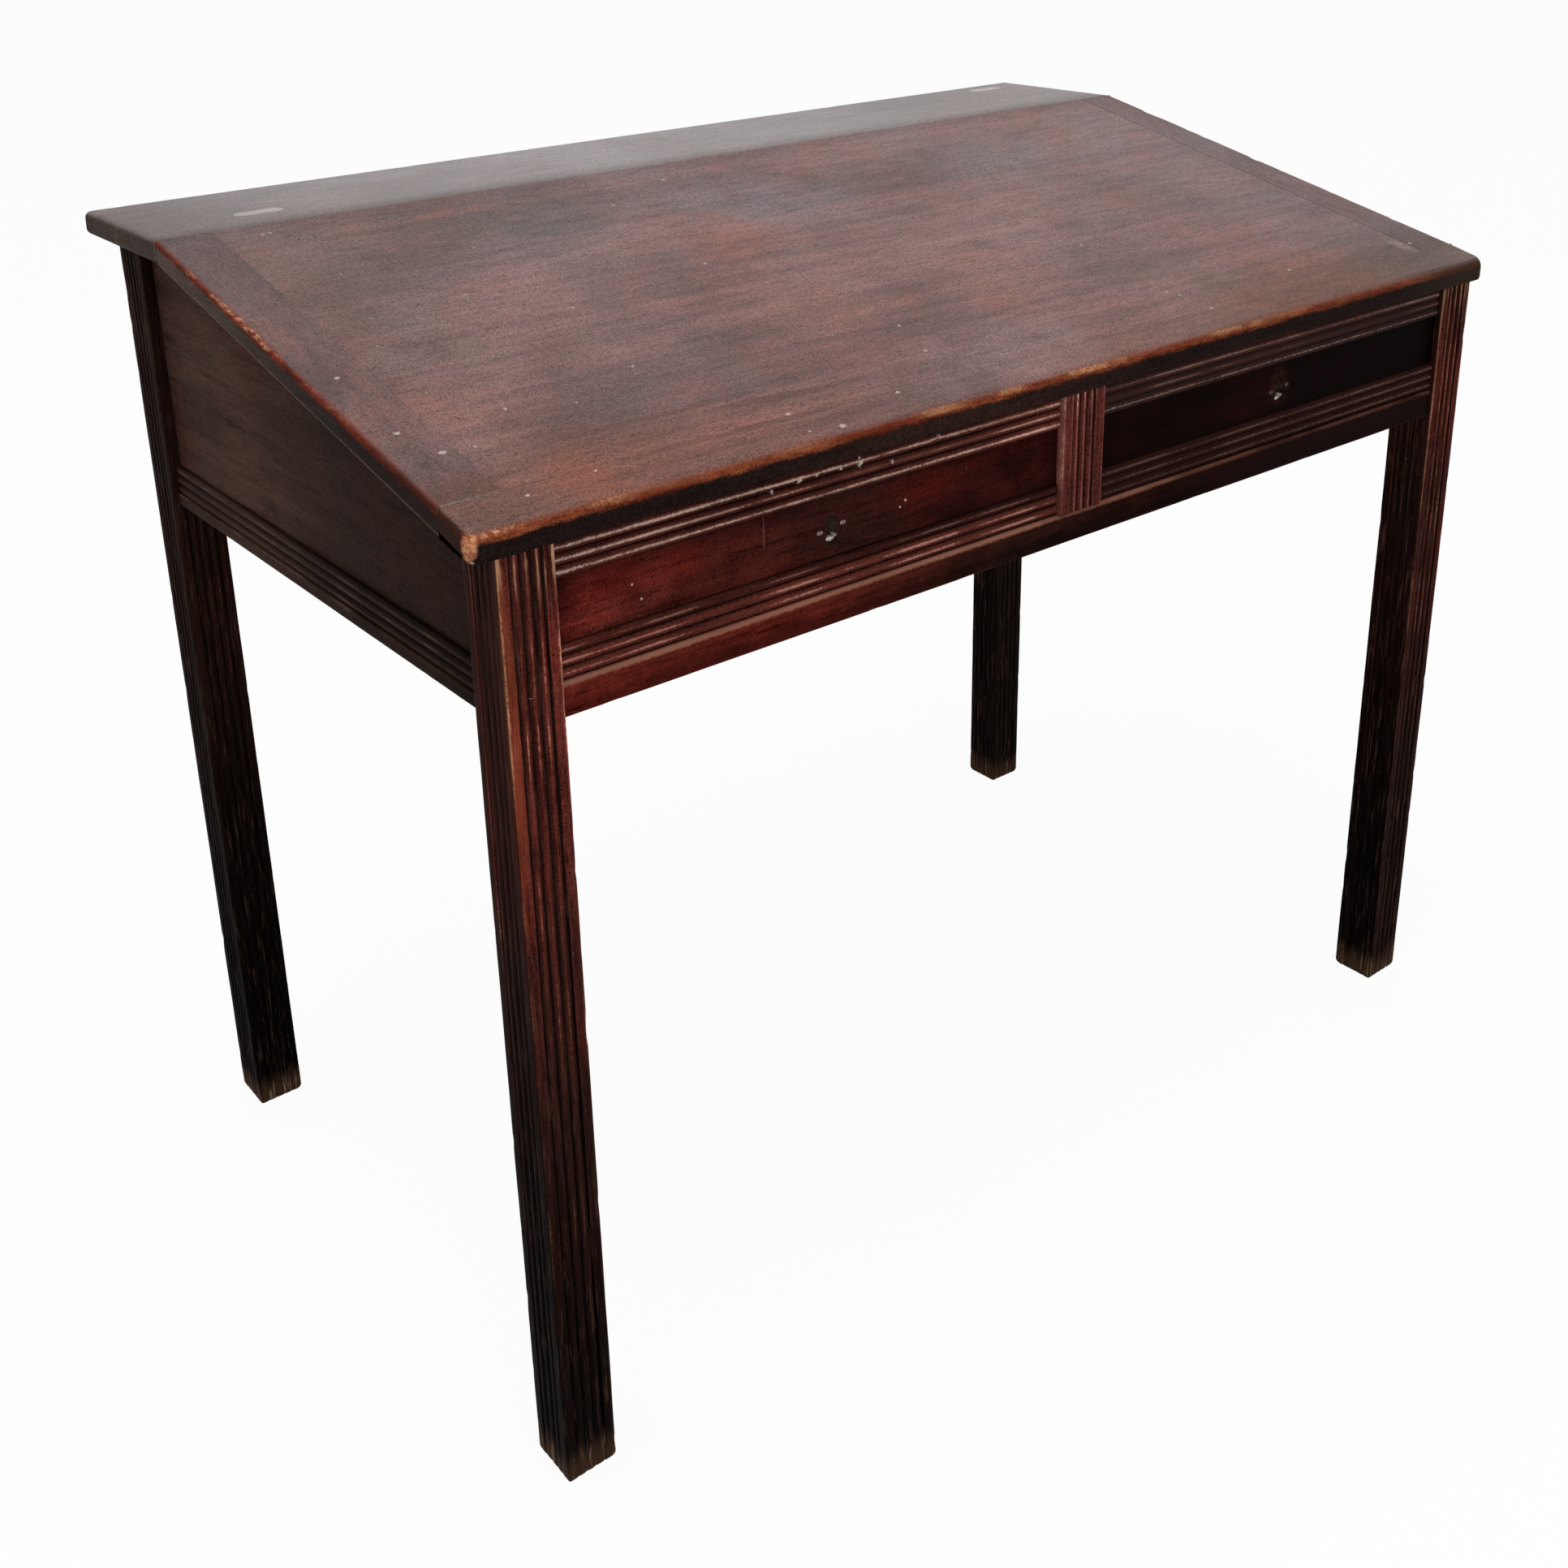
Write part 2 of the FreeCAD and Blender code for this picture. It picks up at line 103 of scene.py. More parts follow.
class Wire:
    """One output of a node; sums of wires become Math nodes."""

    def __init__(self, net, socket):
        self.net = net
        self.socket = socket

    __add__ = __radd__ = math_node("ADD")
    __sub__ = math_node("SUBTRACT")
    __rsub__ = math_node("SUBTRACT", turned=True)
    __mul__ = __rmul__ = math_node("MULTIPLY")
    __pow__ = math_node("POWER")
    __abs__ = math_node("ABSOLUTE")

    def ramp(self, low, high):
        """0 below low, 1 above high and an easy curve between."""
        return self.net.node("MapRange", {"interpolation_type": "SMOOTHSTEP"},
                             {"Value": self, "From Min": low, "From Max": high})

    def darken(self, light):
        """This colour times a light, which is below 1 for shade."""
        return self.net.blend(1.0, self, light, "MULTIPLY")

    def tint(self, share, *screen):
        """This colour with a share of a screen colour laid over it."""
        return self.net.blend(share, self, stain(*screen))


# %% A net of nodes
class Net:
    """The nodes of one finish, or of the world."""

    def __init__(self, owner):
        owner.use_nodes = True
        self.tree = owner.node_tree
        self.tree.nodes.clear()

    def node(self, kind, settings=None, inputs=None, output=0):
        made = self.tree.nodes.new("ShaderNode" + kind)
        for key, value in (settings or {}).items():
            setattr(made, key, value)
        for key, value in (inputs or {}).items():
            if isinstance(value, Wire):
                self.tree.links.new(value.socket, made.inputs[key])
            else:
                made.inputs[key].default_value = value
        return Wire(self, made.outputs[output]) if made.outputs else None

    def blend(self, share, first, second, kind="MIX"):
        """Two colours mixed; share is how much of the second."""
        return self.node("Mix", {"data_type": "RGBA", "blend_type": kind}, {0: share, 6: first, 7: second}, 2)


def stain(red, green, blue):
    """A colour as seen on a screen, 0 to 255, turned into the light it stands for."""
    def light(v):
        v /= 255
        return v / 12.92 if v < 0.04045 else ((v + 0.055) / 1.055) ** 2.4
    return light(red), light(green), light(blue), 1.0


print("a mid brown is", [round(v, 3) for v in stain(111, 58, 37)])

# %% [markdown]
# ## Floor and light
#
# The background of the photograph is plain white with a faint shadow. A brighter lamp would
# bleach the desk, so the white comes from the floor and the world instead: rays from the camera,
# and mirror-like rays, see them as white, while the light that falls on the desk stays at a
# plain level. A wide lamp overhead and an even sky do the lighting.

# %% World and lamps
def seen_rays(net):
    """1 for rays that look at the background, 0 for rays that light the desk."""
    looks = [net.node("LightPath", output=f"Is {kind} Ray") for kind in ("Camera", "Glossy", "Transmission")]
    return (looks[0] + looks[1] + looks[2]).ramp(0, 1)


scene.world = bpy.data.worlds.new("studio")
sky = Net(scene.world)
even = sky.node("Background", inputs={"Color": (1, 1, 1, 1), "Strength": 0.5})
white = sky.node("Background", inputs={"Color": (1, 1, 1, 1), "Strength": 1.0})
seen = sky.node("MixShader", inputs={0: seen_rays(sky), 1: even, 2: white})
sky.node("OutputWorld", inputs={"Surface": seen})


def lamp(name, place, aim, size, watts):
    light = bpy.data.lights.new(name, "AREA")
    light.shape = "DISK"
    light.size = size
    light.energy = watts
    piece = bpy.data.objects.new(name, light)
    piece.location = place
    piece.rotation_euler = (Vector(aim) - Vector(place)).to_track_quat("-Z", "Y").to_euler()
    scene.collection.objects.link(piece)


lamp("overhead_lamp", (-0.7, -0.2, 3.3), (0, 0, 0.8), 2.6, 34)
lamp("front_lamp", (-0.9, -3.1, 1.9), (0, -0.2, 0.5), 1.8, 18)
scene.view_settings.view_transform = "Standard"

# %% Floor
floor_mesh = bpy.data.meshes.new("floor")
FAR = 40
floor_mesh.from_pydata([(-FAR, -FAR, 0), (FAR, -FAR, 0), (FAR, FAR, 0), (-FAR, FAR, 0)], [], [(0, 1, 2, 3)])
floor = bpy.data.objects.new("floor", floor_mesh)
floor_paint = bpy.data.materials.new("pale_floor")
ground = Net(floor_paint)
matt = ground.node("BsdfDiffuse", inputs={"Color": (0.72, 0.72, 0.72, 1)})
glow = ground.node("Emission", inputs={"Color": (1, 1, 1, 1), "Strength": 1.04})
ground.node("OutputMaterial", inputs={
    "Surface": ground.node("MixShader", inputs={0: seen_rays(ground) * 0.9, 1: matt, 2: glow})})
floor_mesh.materials.append(floor_paint)
scene.collection.objects.link(floor)
print("floor and", len(bpy.data.lights), "lamps")

# %% [markdown]
# ## Old stained wood
#
# Every board of the desk has had the same life: a red-brown stain, a film of polish gone grey,
# then years of sleeves and knocks. A picture of wood could be wrapped round the boards, but
# layers of noise drawn out along the grain work at any scale and on any side. Each layer is one
# line of sums below: mottled colour, streaks, pores, a grey film that also stands for painted
# sheen, grooves darkened by dirt and painted shade, rubbed ridges with painted highlights, bare
# chips and specks of paint. Three numbers stored on each mesh say where its ridges, grooves and
# chips are.

# %% Helpers of the stain
GRAIN_STRETCH, FLECK_STRETCH = 0.06, 0.25
SPECK_SCALE, SPECK_PAINT = 60, (182, 170, 164)
RAGGED_SCALE, RAGGED_REACH = 300, (0.006, 0.006, 0.006)


class Wood(Net):
    """A stained board whose grain runs along one axis."""

    def __init__(self, name, along):
        self.material = bpy.data.materials.new(name)
        super().__init__(self.material)
        self.place = self.node("TexCoord", output="Object")
        self.grain_place, self.fleck_place = (
            self.vector("MULTIPLY", self.place, tuple(stretch if axis == along else 1 for axis in "XYZ"))
            for stretch in (GRAIN_STRETCH, FLECK_STRETCH))
        self.x, self.y, self.z = self.split(self.place)
        self.to_right, _, self.to_sky = self.split(self.node("TexCoord", output="Normal"))

    def vector(self, operation, *values, output=0):
        """One Vector Math node."""
        return self.node("VectorMath", {"operation": operation}, dict(enumerate(values)), output)

    def split(self, vector):
        return [self.node("SeparateXYZ", inputs={0: vector}, output=i) for i in range(3)]

    def cloud(self, scale, detail=3, lump=0.5, place=None):
        """Round noise."""
        return self.node("TexNoise", inputs={
            "Vector": place or self.place, "Scale": scale, "Detail": detail, "Roughness": lump})

    def grain(self, scale, detail, lump=0.5):
        """Noise drawn out along the grain."""
        return self.cloud(scale, detail, lump, self.grain_place)

    def fleck(self, scale, detail, lump):
        """Noise drawn out a little, into short flecks."""
        return self.cloud(scale, detail, lump, self.fleck_place)

    def mark(self, name):
        return self.node("Attribute", {"attribute_name": name}, output="Fac")

    def spot(self, centre, reach, soft):
        """1 inside an egg round a point, falling to 0 at its skin."""
        scaled = self.vector("DIVIDE", self.vector("SUBTRACT", self.place, centre), reach)
        return 1 - self.vector("LENGTH", scaled, output="Value").ramp(1 - soft, 1)

    def specks(self, size):
        """Small ragged specks of uneven size, far apart."""
        ragged = self.node("TexNoise", inputs={
            "Vector": self.place, "Scale": RAGGED_SCALE, "Detail": 2}, output=1)
        shaken = self.vector("MULTIPLY_ADD", ragged, RAGGED_REACH, self.place)
        cell = {"Vector": shaken, "Scale": SPECK_SCALE}
        gap = self.node("TexVoronoi", inputs=cell)
        luck = self.node("SeparateColor", inputs={0: self.node("TexVoronoi", inputs=cell, output="Color")})
        return (luck ** 6 * size - gap).ramp(0, size * 0.3)


# %% The layers of the stain
BUMP_SHARE, BUMP_HEIGHT, COAT_ROUGH, SHEEN = 0.25, 0.0006, 0.4, 0.01
finishes = {}


def stained(name, along, dark, light, red, reds=0.3, streaks=0.35, pores=0.35, grit=1.3, flecks=0.5,
            lines=0.2, grey_film_and_sheen=None, rubbed=None, glints=None, bare=(178, 116, 70), chips=0.0, groove_dirt_and_shade=0.8,
            specks=0.0, rough=0.55, polish=None, more=None, late=None):
    """A wooden finish: two tones and a red, the shares of its layers, and marks of its own."""
    wood = Wood(name, along)
    broad = wood.cloud(6)
    mottle = wood.grain(60, 4)
    streak = wood.grain(240, 5, 0.65)
    pore = wood.grain(1100, 2).ramp(0.56, 0.7)
    fine = wood.cloud(400, 4, 0.7)
    sand = wood.cloud(1100, 2)
    colour = wood.blend((broad * 0.6 + mottle * 0.4).ramp(0.36, 0.64), stain(*dark), stain(*light))
    blush = (wood.cloud(9, 4) * 0.7 + mottle * 0.3).ramp(0.48, 0.66) * reds
    colour = colour.tint(blush, *red)
    # A grey film of old polish, which also stands for painted sheen.
    if grey_film_and_sheen:
        tint, share = grey_film_and_sheen
        film_and_sheen_share = (wood.cloud(5, 5, 0.6) * 0.8 + streak * 0.2).ramp(0.36, 0.66) * 0.7 + 0.3
        colour = colour.tint(film_and_sheen_share * share(wood), *tint)
    if more:
        colour = more(wood, colour)
    ridge, hollow, chip = wood.mark("ridge"), wood.mark("groove"), wood.mark("bare")
    shade = 1 - streak.ramp(0.42, 0.72) * streaks - pore * pores + (sand * 1.3 + fine * 0.7 - 1) * grit
    shade = shade + (wood.fleck(150, 3, 0.6) - 0.5) * flecks
    shade = shade - wood.grain(380, 3, 0.6).ramp(0.5, 0.68) * lines
    # Grooves are darkened by dirt and by painted shade.
    colour = colour.darken(shade * (1 - hollow * groove_dirt_and_shade))
    rub = wood.grain(70, 5, 0.7)
    if rubbed:
        deep, glint_colour, share = rubbed
        often = wood.cloud(18).ramp(0.35, 0.65) * 0.5 + 0.6
        touched = (ridge * often + (fine + rub - 1) * 0.35).ramp(0.25, 0.95) * share
        # Glints on the worn ridges: pale bare wood, partly a painted highlight.
        glint = (ridge * often + (fine - 0.5) * 0.9 + (rub - 0.5) * 1.1).ramp(0.72, 1.15)
        if glints:
            glint = glint * (glints(wood) if callable(glints) else glints)
        colour = wood.blend(touched, colour, wood.blend(glint, stain(*deep), stain(*glint_colour)))
    if late:
        colour = late(wood, colour, ridge, fine)
    flaw = (fine - 0.5) * 1.2 + (rub - 0.5) * 0.9
    knocked = (flaw + chips * 0.25).ramp(0.3, 0.42) * ridge.ramp(0.6, 0.95)
    knocked = knocked + (chip + flaw).ramp(0.45, 0.8)
    colour = colour.tint(knocked.ramp(0.0, 1.0), *bare)
    fleck = 0.0
    if specks:
        fleck = wood.specks(specks)
        colour = colour.tint(fleck * 0.75, *SPECK_PAINT)
    height = streak * 0.4 - pore * 0.5 + sand * 0.35 + mottle * 0.3 + fleck * 0.4
    normal = wood.node("Bump", inputs={"Strength": BUMP_SHARE, "Distance": BUMP_HEIGHT, "Height": height})
    dull = rough + (broad - 0.5) * 0.25 + (sand - 0.5) * 0.2
    surface = wood.node("BsdfPrincipled", inputs={
        "Base Color": colour, "Roughness": dull, "Specular IOR Level": SHEEN, "Normal": normal,
        "Coat Weight": polish(wood) if polish else 0.0, "Coat Roughness": COAT_ROUGH})
    wood.node("OutputMaterial", inputs={"Surface": surface})
    finishes[name] = wood.material


# %% [markdown]
# ## The finish of each part
#
# The top is hazy and mottled, because light and elbows reach it, and its haze also stands for painted
# sheen. The drawers are darker and redder, the right one almost black. The legs darken towards the
# floor, in painted shade over some real dirt. So each part gets its own colours and shares of the
# layers, and places on the part that the photograph shows as special are mixed in by their position.

# %% The line of the slope
FRONT_Y, JOINT_Y = -0.317, 0.154
FRONT_TOP, BACK_TOP, THICK = 0.770, 0.877, 0.020
FALL = (BACK_TOP - FRONT_TOP) / (JOINT_Y - FRONT_Y)


def top_z(y):
    return BACK_TOP - FALL * max(0.0, JOINT_Y - y)


print("the top falls", round(math.degrees(math.atan(FALL)), 1), "degrees")

# %% Finishes of the top
# The grey film thickens to the right and back: old polish, and painted sheen there.
def slope_film_and_sheen(wood):
    return wood.x.ramp(-0.2, 0.5) * 0.22 + wood.y.ramp(-0.15, 0.15) * 0.22 + 0.22


def slope_marks(wood, colour):
    """Patches that the photograph shows, each an egg with a colour of its own, broken up by noise, then a
    painted shade at the back of the left end and one where the slope meets the flat board.
    """
    patch = wood.cloud(13, 4).ramp(0.42, 0.58)
    warm = wood.cloud(11, 4, 0.6).ramp(0.46, 0.62)
    for x, y, wide, deep, share, tint in (
            (-0.30, 0.09, 0.27, 0.08, patch * 0.6, (80, 78, 73)),
            (-0.40, -0.285, 0.26, 0.07, warm * 0.3 + 0.45, (142, 80, 56)),
            (0.30, -0.30, 0.36, 0.09, warm * 0.25 + 0.6, (108, 66, 46)),
            (-0.06, -0.27, 0.18, 0.07, (1 - warm) * 0.4 + 0.1, (142, 116, 116)),
            (0.16, -0.10, 0.20, 0.12, (1 - warm) * 0.3 + 0.1, (150, 122, 120)),
            (-0.20, -0.09, 0.12, 0.08, warm * 0.3 + 0.1, (156, 104, 96)),
            (-0.52, -0.30, 0.10, 0.07, warm * 0.2 + 0.4, (94, 68, 58)),
            (-0.44, -0.08, 0.10, 0.10, (1 - warm) * 0.35 + 0.1, (144, 120, 116)),
            (-0.05, 0.05, 0.16, 0.09, patch * 0.4 + 0.1, (128, 120, 126)),
            (0.34, 0.05, 0.22, 0.08, patch * 0.4, (126, 120, 124))):
        colour = colour.tint(wood.spot((x, y, top_z(y)), (wide, deep, 0.3), 0.9) * share, *tint)
    shaded = (1 - wood.x.ramp(-0.48, -0.26)) * wood.y.ramp(-0.12, 0.1)
    colour = colour.tint(shaded * 0.45, 94, 74, 68)
    lines = wood.grain(90, 4, 0.6).ramp(0.46, 0.6)
    low = wood.spot((-0.28, -0.265, 0.78), (0.26, 0.06, 0.3), 0.8)
    colour = colour.tint(low * lines * 0.5, 72, 42, 34)
    colour = colour.tint(wood.spot((0.5, -0.3, 0.77), (0.16, 0.12, 0.1), 0.9) * 0.6, 84, 72, 64)
    # Painted shade along the top of the slope, where it meets the flat board.
    return colour.tint(wood.y.ramp(0.135, 0.152) * 0.18, 58, 46, 42)


DROP_SHARE = 720  # a drop of size 1 fades out 1/720 m from its middle


def drops_on(wood, colour, fine, drops, upright=False):
    """Ragged drops of pale paint, (x, y, size) on the slope or (x, z, size) on the drawers."""
    crumb = wood.cloud(900, 3, 0.7)
    for x, v, size in drops:
        wide = size / DROP_SHARE
        if upright:
            drop = wood.spot((x, -0.309, v), (wide, 0.01, wide), 0.8)
        else:
            drop = wood.spot((x, v, top_z(v)), (wide, wide * 0.75, 0.01), 0.8)
        ragged = (drop + (crumb - 0.5) * 2.4 + (fine - 0.5) * 1.2).ramp(0.5, 0.8)
        ragged = ragged * drop.ramp(0.0, 0.25)
        colour = colour.tint(ragged * 0.8, 200, 184, 174)
    return colour


def slope_scars(wood, colour, ridge, fine):
    """Drops of paint, a ring left by a glass and a scuff."""
    colour = drops_on(wood, colour, fine, (
        (-0.100, -0.241, 2.4), (0.324, -0.256, 2.2), (-0.089, -0.199, 2.0), (-0.480, -0.223, 1.8),
        (-0.162, -0.044, 2.2), (-0.460, 0.136, 2.0), (-0.307, -0.072, 1.8), (-0.163, 0.086, 1.8),
        (0.175, -0.243, 2.0), (0.181, -0.252, 2.0), (-0.262, -0.276, 2.4)))
    glass = (0.45, -0.06, top_z(-0.06))
    ring = wood.spot(glass, (0.020, 0.022, 0.05), 0.16) - wood.spot(glass, (0.0175, 0.0195, 0.05), 0.16)
    colour = colour.tint(ring * fine.ramp(0.35, 0.6) * 0.25, 170, 158, 154)
    scuff = wood.spot((0.483, -0.262, top_z(-0.262)), (0.011, 0.024, 0.02), 0.9) * fine.ramp(0.42, 0.58)
    return colour.tint(scuff * 0.65, 176, 160, 142)


def edge_marks(wood, colour):
    """The rounded front edge is rubbed to tan, and the upright face below it is nearly black."""
    middle = wood.spot((-0.13, FRONT_Y, 0.76), (0.24, 0.1, 0.1), 0.8)
    upright = wood.blend(middle, stain(34, 24, 22), stain(48, 32, 28))
    tone = wood.grain(30, 4) * 0.5 + wood.fleck(260, 4, 0.7) * 0.5
    roll = wood.blend(tone.ramp(0.42, 0.58), stain(80, 32, 22), stain(140, 74, 48))
    dull = wood.spot((-0.20, FRONT_Y, 0.768), (0.07, 0.02, 0.02), 0.7)
    dull = dull + wood.spot((-0.40, FRONT_Y, 0.768), (0.07, 0.02, 0.02), 0.8)
    roll = roll.tint(dull * 0.7, 84, 26, 20)
    roll = roll.tint(wood.x.ramp(0.12, 0.38) * 0.5, 64, 32, 24)
    ragged = (wood.fleck(120, 4, 0.7) - 0.5) * 0.5
    rolled = wood.blend((wood.to_sky + ragged).ramp(0.1, 0.32), upright, roll)
    return wood.blend(1 - (wood.to_sky + ragged * 0.6).ramp(0.6, 0.86), slope_marks(wood, colour), rolled)


def cleat_marks(wood, colour):
    """The cleats are darker at both ends, their edges red-brown, their upright faces paler at the back."""
    ends = wood.y.ramp(-0.06, 0.1) + 1 - wood.y.ramp(-0.28, -0.16)
    far = wood.x.ramp(-0.1, 0.1)
    colour = slope_marks(wood, colour).darken(1 - ends * (0.24 - far * 0.12))
    rear = wood.y.ramp(-0.2, 0.18)
    upright = wood.blend(rear, stain(42, 32, 28), stain(94, 80, 72))
    upright = upright.tint(wood.y.ramp(0.1512, 0.1526) * 0.8, 34, 27, 24)
    tone = wood.fleck(130, 4, 0.7).ramp(0.4, 0.62)
    roll = wood.blend(tone, stain(58, 30, 25), stain(124, 52, 38))
    rolled = wood.blend(wood.to_sky.ramp(-0.02, 0.3), upright, roll)
    return wood.blend(1 - wood.to_sky.ramp(0.84, 0.965), colour, rolled)


def flat_marks(wood, colour):
    # Painted shade on the flat board beside the slope, stronger at the left.
    fold_shade = (1 - wood.y.ramp(0.156, 0.195)) * (0.5 - wood.x.ramp(-0.4, 0.0) * 0.25)
    colour = colour.tint(fold_shade, 82, 66, 60)
    end = wood.blend((1 - wood.y.ramp(0.1555, 0.1575)) * 0.7, stain(72, 62, 57), stain(132, 116, 106))
    return wood.blend(1 - wood.to_sky.ramp(0.3, 0.9), colour, end)


def edge_glints(wood):
    """The front edge is rubbed palest in the middle and at the left corner, where its glints are partly a
    painted highlight.
    """
    middle = wood.spot((0.02, FRONT_Y, 0.77), (0.26, 0.1, 0.1), 0.7)
    corner = wood.spot((-0.54, FRONT_Y, 0.765), (0.16, 0.1, 0.1), 0.8)
    patchy = wood.cloud(22).ramp(0.38, 0.58)
    return ((middle + corner) * 0.9 * patchy + patchy * 0.3 + 0.1) * (1 - wood.x.ramp(0.12, 0.38) * 0.5)


def cleat_glints(wood):
    """Chairs and sleeves have rubbed the left edge most half way up; its glints there are partly a painted
    highlight.
    """
    broken = wood.fleck(240, 4, 0.7).ramp(0.45, 0.6)
    return (wood.spot((-0.54, -0.01, 0.84), (0.1, 0.2, 0.13), 0.7) * 0.9 + 0.15) * broken


def edge_scars(wood, colour, ridge, fine):
    """The left corner is worn to bare wood, with a fleck of paint below it."""
    worn = wood.spot((-0.5395, -0.3125, 0.7615), (0.0105, 0.010, 0.013), 0.9)
    worn = worn + wood.spot((-0.520, -0.316, 0.769), (0.045, 0.006, 0.005), 0.9) * 0.5
    orange = (wood.cloud(220, 4, 0.6) + worn * 0.12).ramp(0.42, 0.66)
    pale = wood.blend(orange, stain(134, 62, 38), stain(226, 160, 118))
    colour = wood.blend((worn * (fine * 2 + 0.1)).ramp(0.16, 0.7) * 0.9, colour, pale)
    side = (0 - wood.to_right).ramp(0.45, 0.75) * wood.y.ramp(-0.311, -0.304)
    colour = colour.tint(side * 0.85, 40, 29, 25)
    far_right = wood.spot((0.54, FRONT_Y, 0.765), (0.17, 0.06, 0.05), 0.9)
    colour = colour.tint(far_right * (1 - wood.to_sky.ramp(0.85, 0.96)) * 0.85, 50, 39, 31)
    fleck = wood.spot((-0.539, -0.3165, 0.7525), (0.003, 0.004, 0.0025), 0.5)
    colour = colour.tint(fleck, 214, 200, 190)
    return drops_on(wood, colour, fine, (
        (-0.238, -0.306, 3.8), (-0.264, -0.302, 1.6), (-0.167, -0.284, 2.6), (0.186, -0.282, 2.2),
        (-0.427, -0.283, 1.8), (-0.482, -0.290, 2.2)))


def cleat_scars(wood, colour, ridge, fine):
    """The lower edge has lost its stain, and pale knocks lie near the front."""
    under = (0 - wood.to_sky).ramp(-0.2, 0.3) * (ridge + (fine - 0.5) * 0.8).ramp(0.4, 0.8)
    colour = colour.tint(under * 0.7, 128, 118, 108)
    front = (1 - wood.to_sky.ramp(0.84, 0.965)) * (1 - wood.y.ramp(-0.24, -0.12))
    colour = colour.tint(front * wood.to_sky.ramp(0.0, 0.3) * 0.75, 62, 28, 23)
    seam = (0 - wood.y).ramp(0.2755, 0.2785) * wood.to_sky.ramp(0.8, 0.95) * fine.ramp(0.3, 0.6)
    colour = colour.tint(seam * (1 - wood.x.ramp(-0.1, 0.1)) * 0.5, 150, 134, 126)
    return drops_on(wood, colour, fine, (
        (-0.503, -0.221, 3.4), (-0.517, -0.187, 3.4), (-0.517, -0.103, 2.6), (0.497, -0.262, 3.0)))


def top_polish(wood):
    return wood.to_sky.ramp(0.5, 0.9) * 0.42


def flat_polish(wood):
    near_fold = wood.y.ramp(0.15, 0.19) * 0.4 + 0.6
    return wood.to_sky.ramp(0.5, 0.9) * near_fold * (wood.x.ramp(-0.58, -0.3) * 0.4 + 0.5)


# The grey film on the flat board thickens to the right: old polish, and painted sheen.
def flat_film_and_sheen(wood):
    return wood.x.ramp(-0.55, -0.1) * 0.35 + 0.28


top_tones = ((95, 63, 57), (139, 98, 90), (152, 88, 72))
cleat_tones = ((86, 57, 52), (122, 87, 81), (130, 78, 66))
top_layers = {"reds": 0.4, "streaks": 0.26, "pores": 0.16, "lines": 0.1, "polish": top_polish,
              "grey_film_and_sheen": ((140, 129, 133), slope_film_and_sheen)}
stained("slope_wood", "X", *top_tones, **top_layers, grit=2.4, flecks=0.65, specks=0.12,
        more=slope_marks, late=slope_scars)
stained("edge_wood", "X", *top_tones, **top_layers, grit=2.4, flecks=0.65, chips=0.3,
        rubbed=((128, 62, 40), (220, 164, 116), 0.5), glints=edge_glints, more=edge_marks, late=edge_scars)
stained("cleat_wood", "Y", *cleat_tones, **top_layers, grit=2.3, flecks=0.55, chips=0.3,
        rubbed=((116, 46, 34), (226, 164, 122), 0.6), glints=cleat_glints, more=cleat_marks, late=cleat_scars)
stained("flat_wood", "X", (78, 62, 58), (112, 92, 88), (112, 76, 68), grit=2.2, specks=0.08,
        grey_film_and_sheen=((150, 140, 142), flat_film_and_sheen), rubbed=((70, 52, 44), (110, 90, 78), 0.5),
        polish=flat_polish, more=flat_marks)
stained("patch_wood", "X", (150, 140, 136), (186, 176, 170), (160, 144, 136), 0.2, 0.2, polish=flat_polish)
print("finishes of the top:", sorted(finishes))


# %% Finishes of the frame
def leg_shade_and_wear(wood, colour, ridge, fine):
    """Painted shade, over some real dirt, darkens the legs towards the floor, the back and the right and on
    their left faces, which are also greyer. They have pale knocks at the top, a worn front-left arris partly
    painted as a highlight, and bare feet.
    """
    scratch = wood.grain(300, 3, 0.6) + wood.cloud(90, 2) * 0.6
    knocks = wood.z.ramp(0.705, 0.748) * (ridge * 0.5 + scratch).ramp(1.0, 1.3)
    colour = colour.tint(knocks * 0.7, 196, 152, 116)
    warm = wood.spot((-0.520, -0.314, 0.62), (0.010, 0.010, 0.17), 0.7)
    colour = colour.tint(warm * 0.55, 142, 66, 42)
    # The front-left arris of the near leg is worn pale and partly a painted highlight.
    corner = wood.spot((-0.5225, -0.3145, 0.66), (0.0035, 0.0035, 0.12), 0.7)
    colour = colour.tint(corner * (fine + ridge * 0.2).ramp(0.45, 0.75) * 0.8, 226, 164, 124)
    low = 1 - wood.z.ramp(0.05, 0.6)
    rear = wood.y.ramp(-0.2, 0.2)
    colour = colour.tint(low * 0.5 + rear * 0.5, 80, 64, 56)
    right = wood.x.ramp(-0.2, 0.3)
    # Painted shade, over some real dirt: darker towards the floor, the back and the right, and on the left
    # faces.
    dusk = wood.z.ramp(-0.2, 0.68) ** 2.8 * 0.95 + 0.05 + right * low * 0.12
    left = (0 - wood.to_right).ramp(0.4, 0.8) * (1 - rear * 0.5)
    colour = colour.tint(left * 0.6, 70, 50, 44)
    dusk = dusk * (1 - rear * (0.8 - right * 0.46)) * (1 - left * (0.64 + low * 0.16)) * (1 - right * 0.4)
    dark = wood.grain(330, 4, 0.7).ramp(0.47, 0.62)
    colour = colour.darken(dusk * (1.25 - dark * 0.6))
    hairs = wood.grain(420, 4, 0.7).ramp(0.54, 0.68)
    colour = colour.tint(hairs * (0.2 + right * 0.06), 128, 92, 80)
    foot = 1 - (wood.z + (wood.grain(160, 3) - 0.5) * 0.04).ramp(0.006, 0.034)
    colour = colour.tint(foot * 0.75, 70, 50, 36)
    return colour.tint(foot * hairs * 0.7, 164, 138, 110)


def side_fade(wood, colour):
    return colour.darken(wood.y.ramp(-0.4, 0.25) * 0.8 + 0.2)


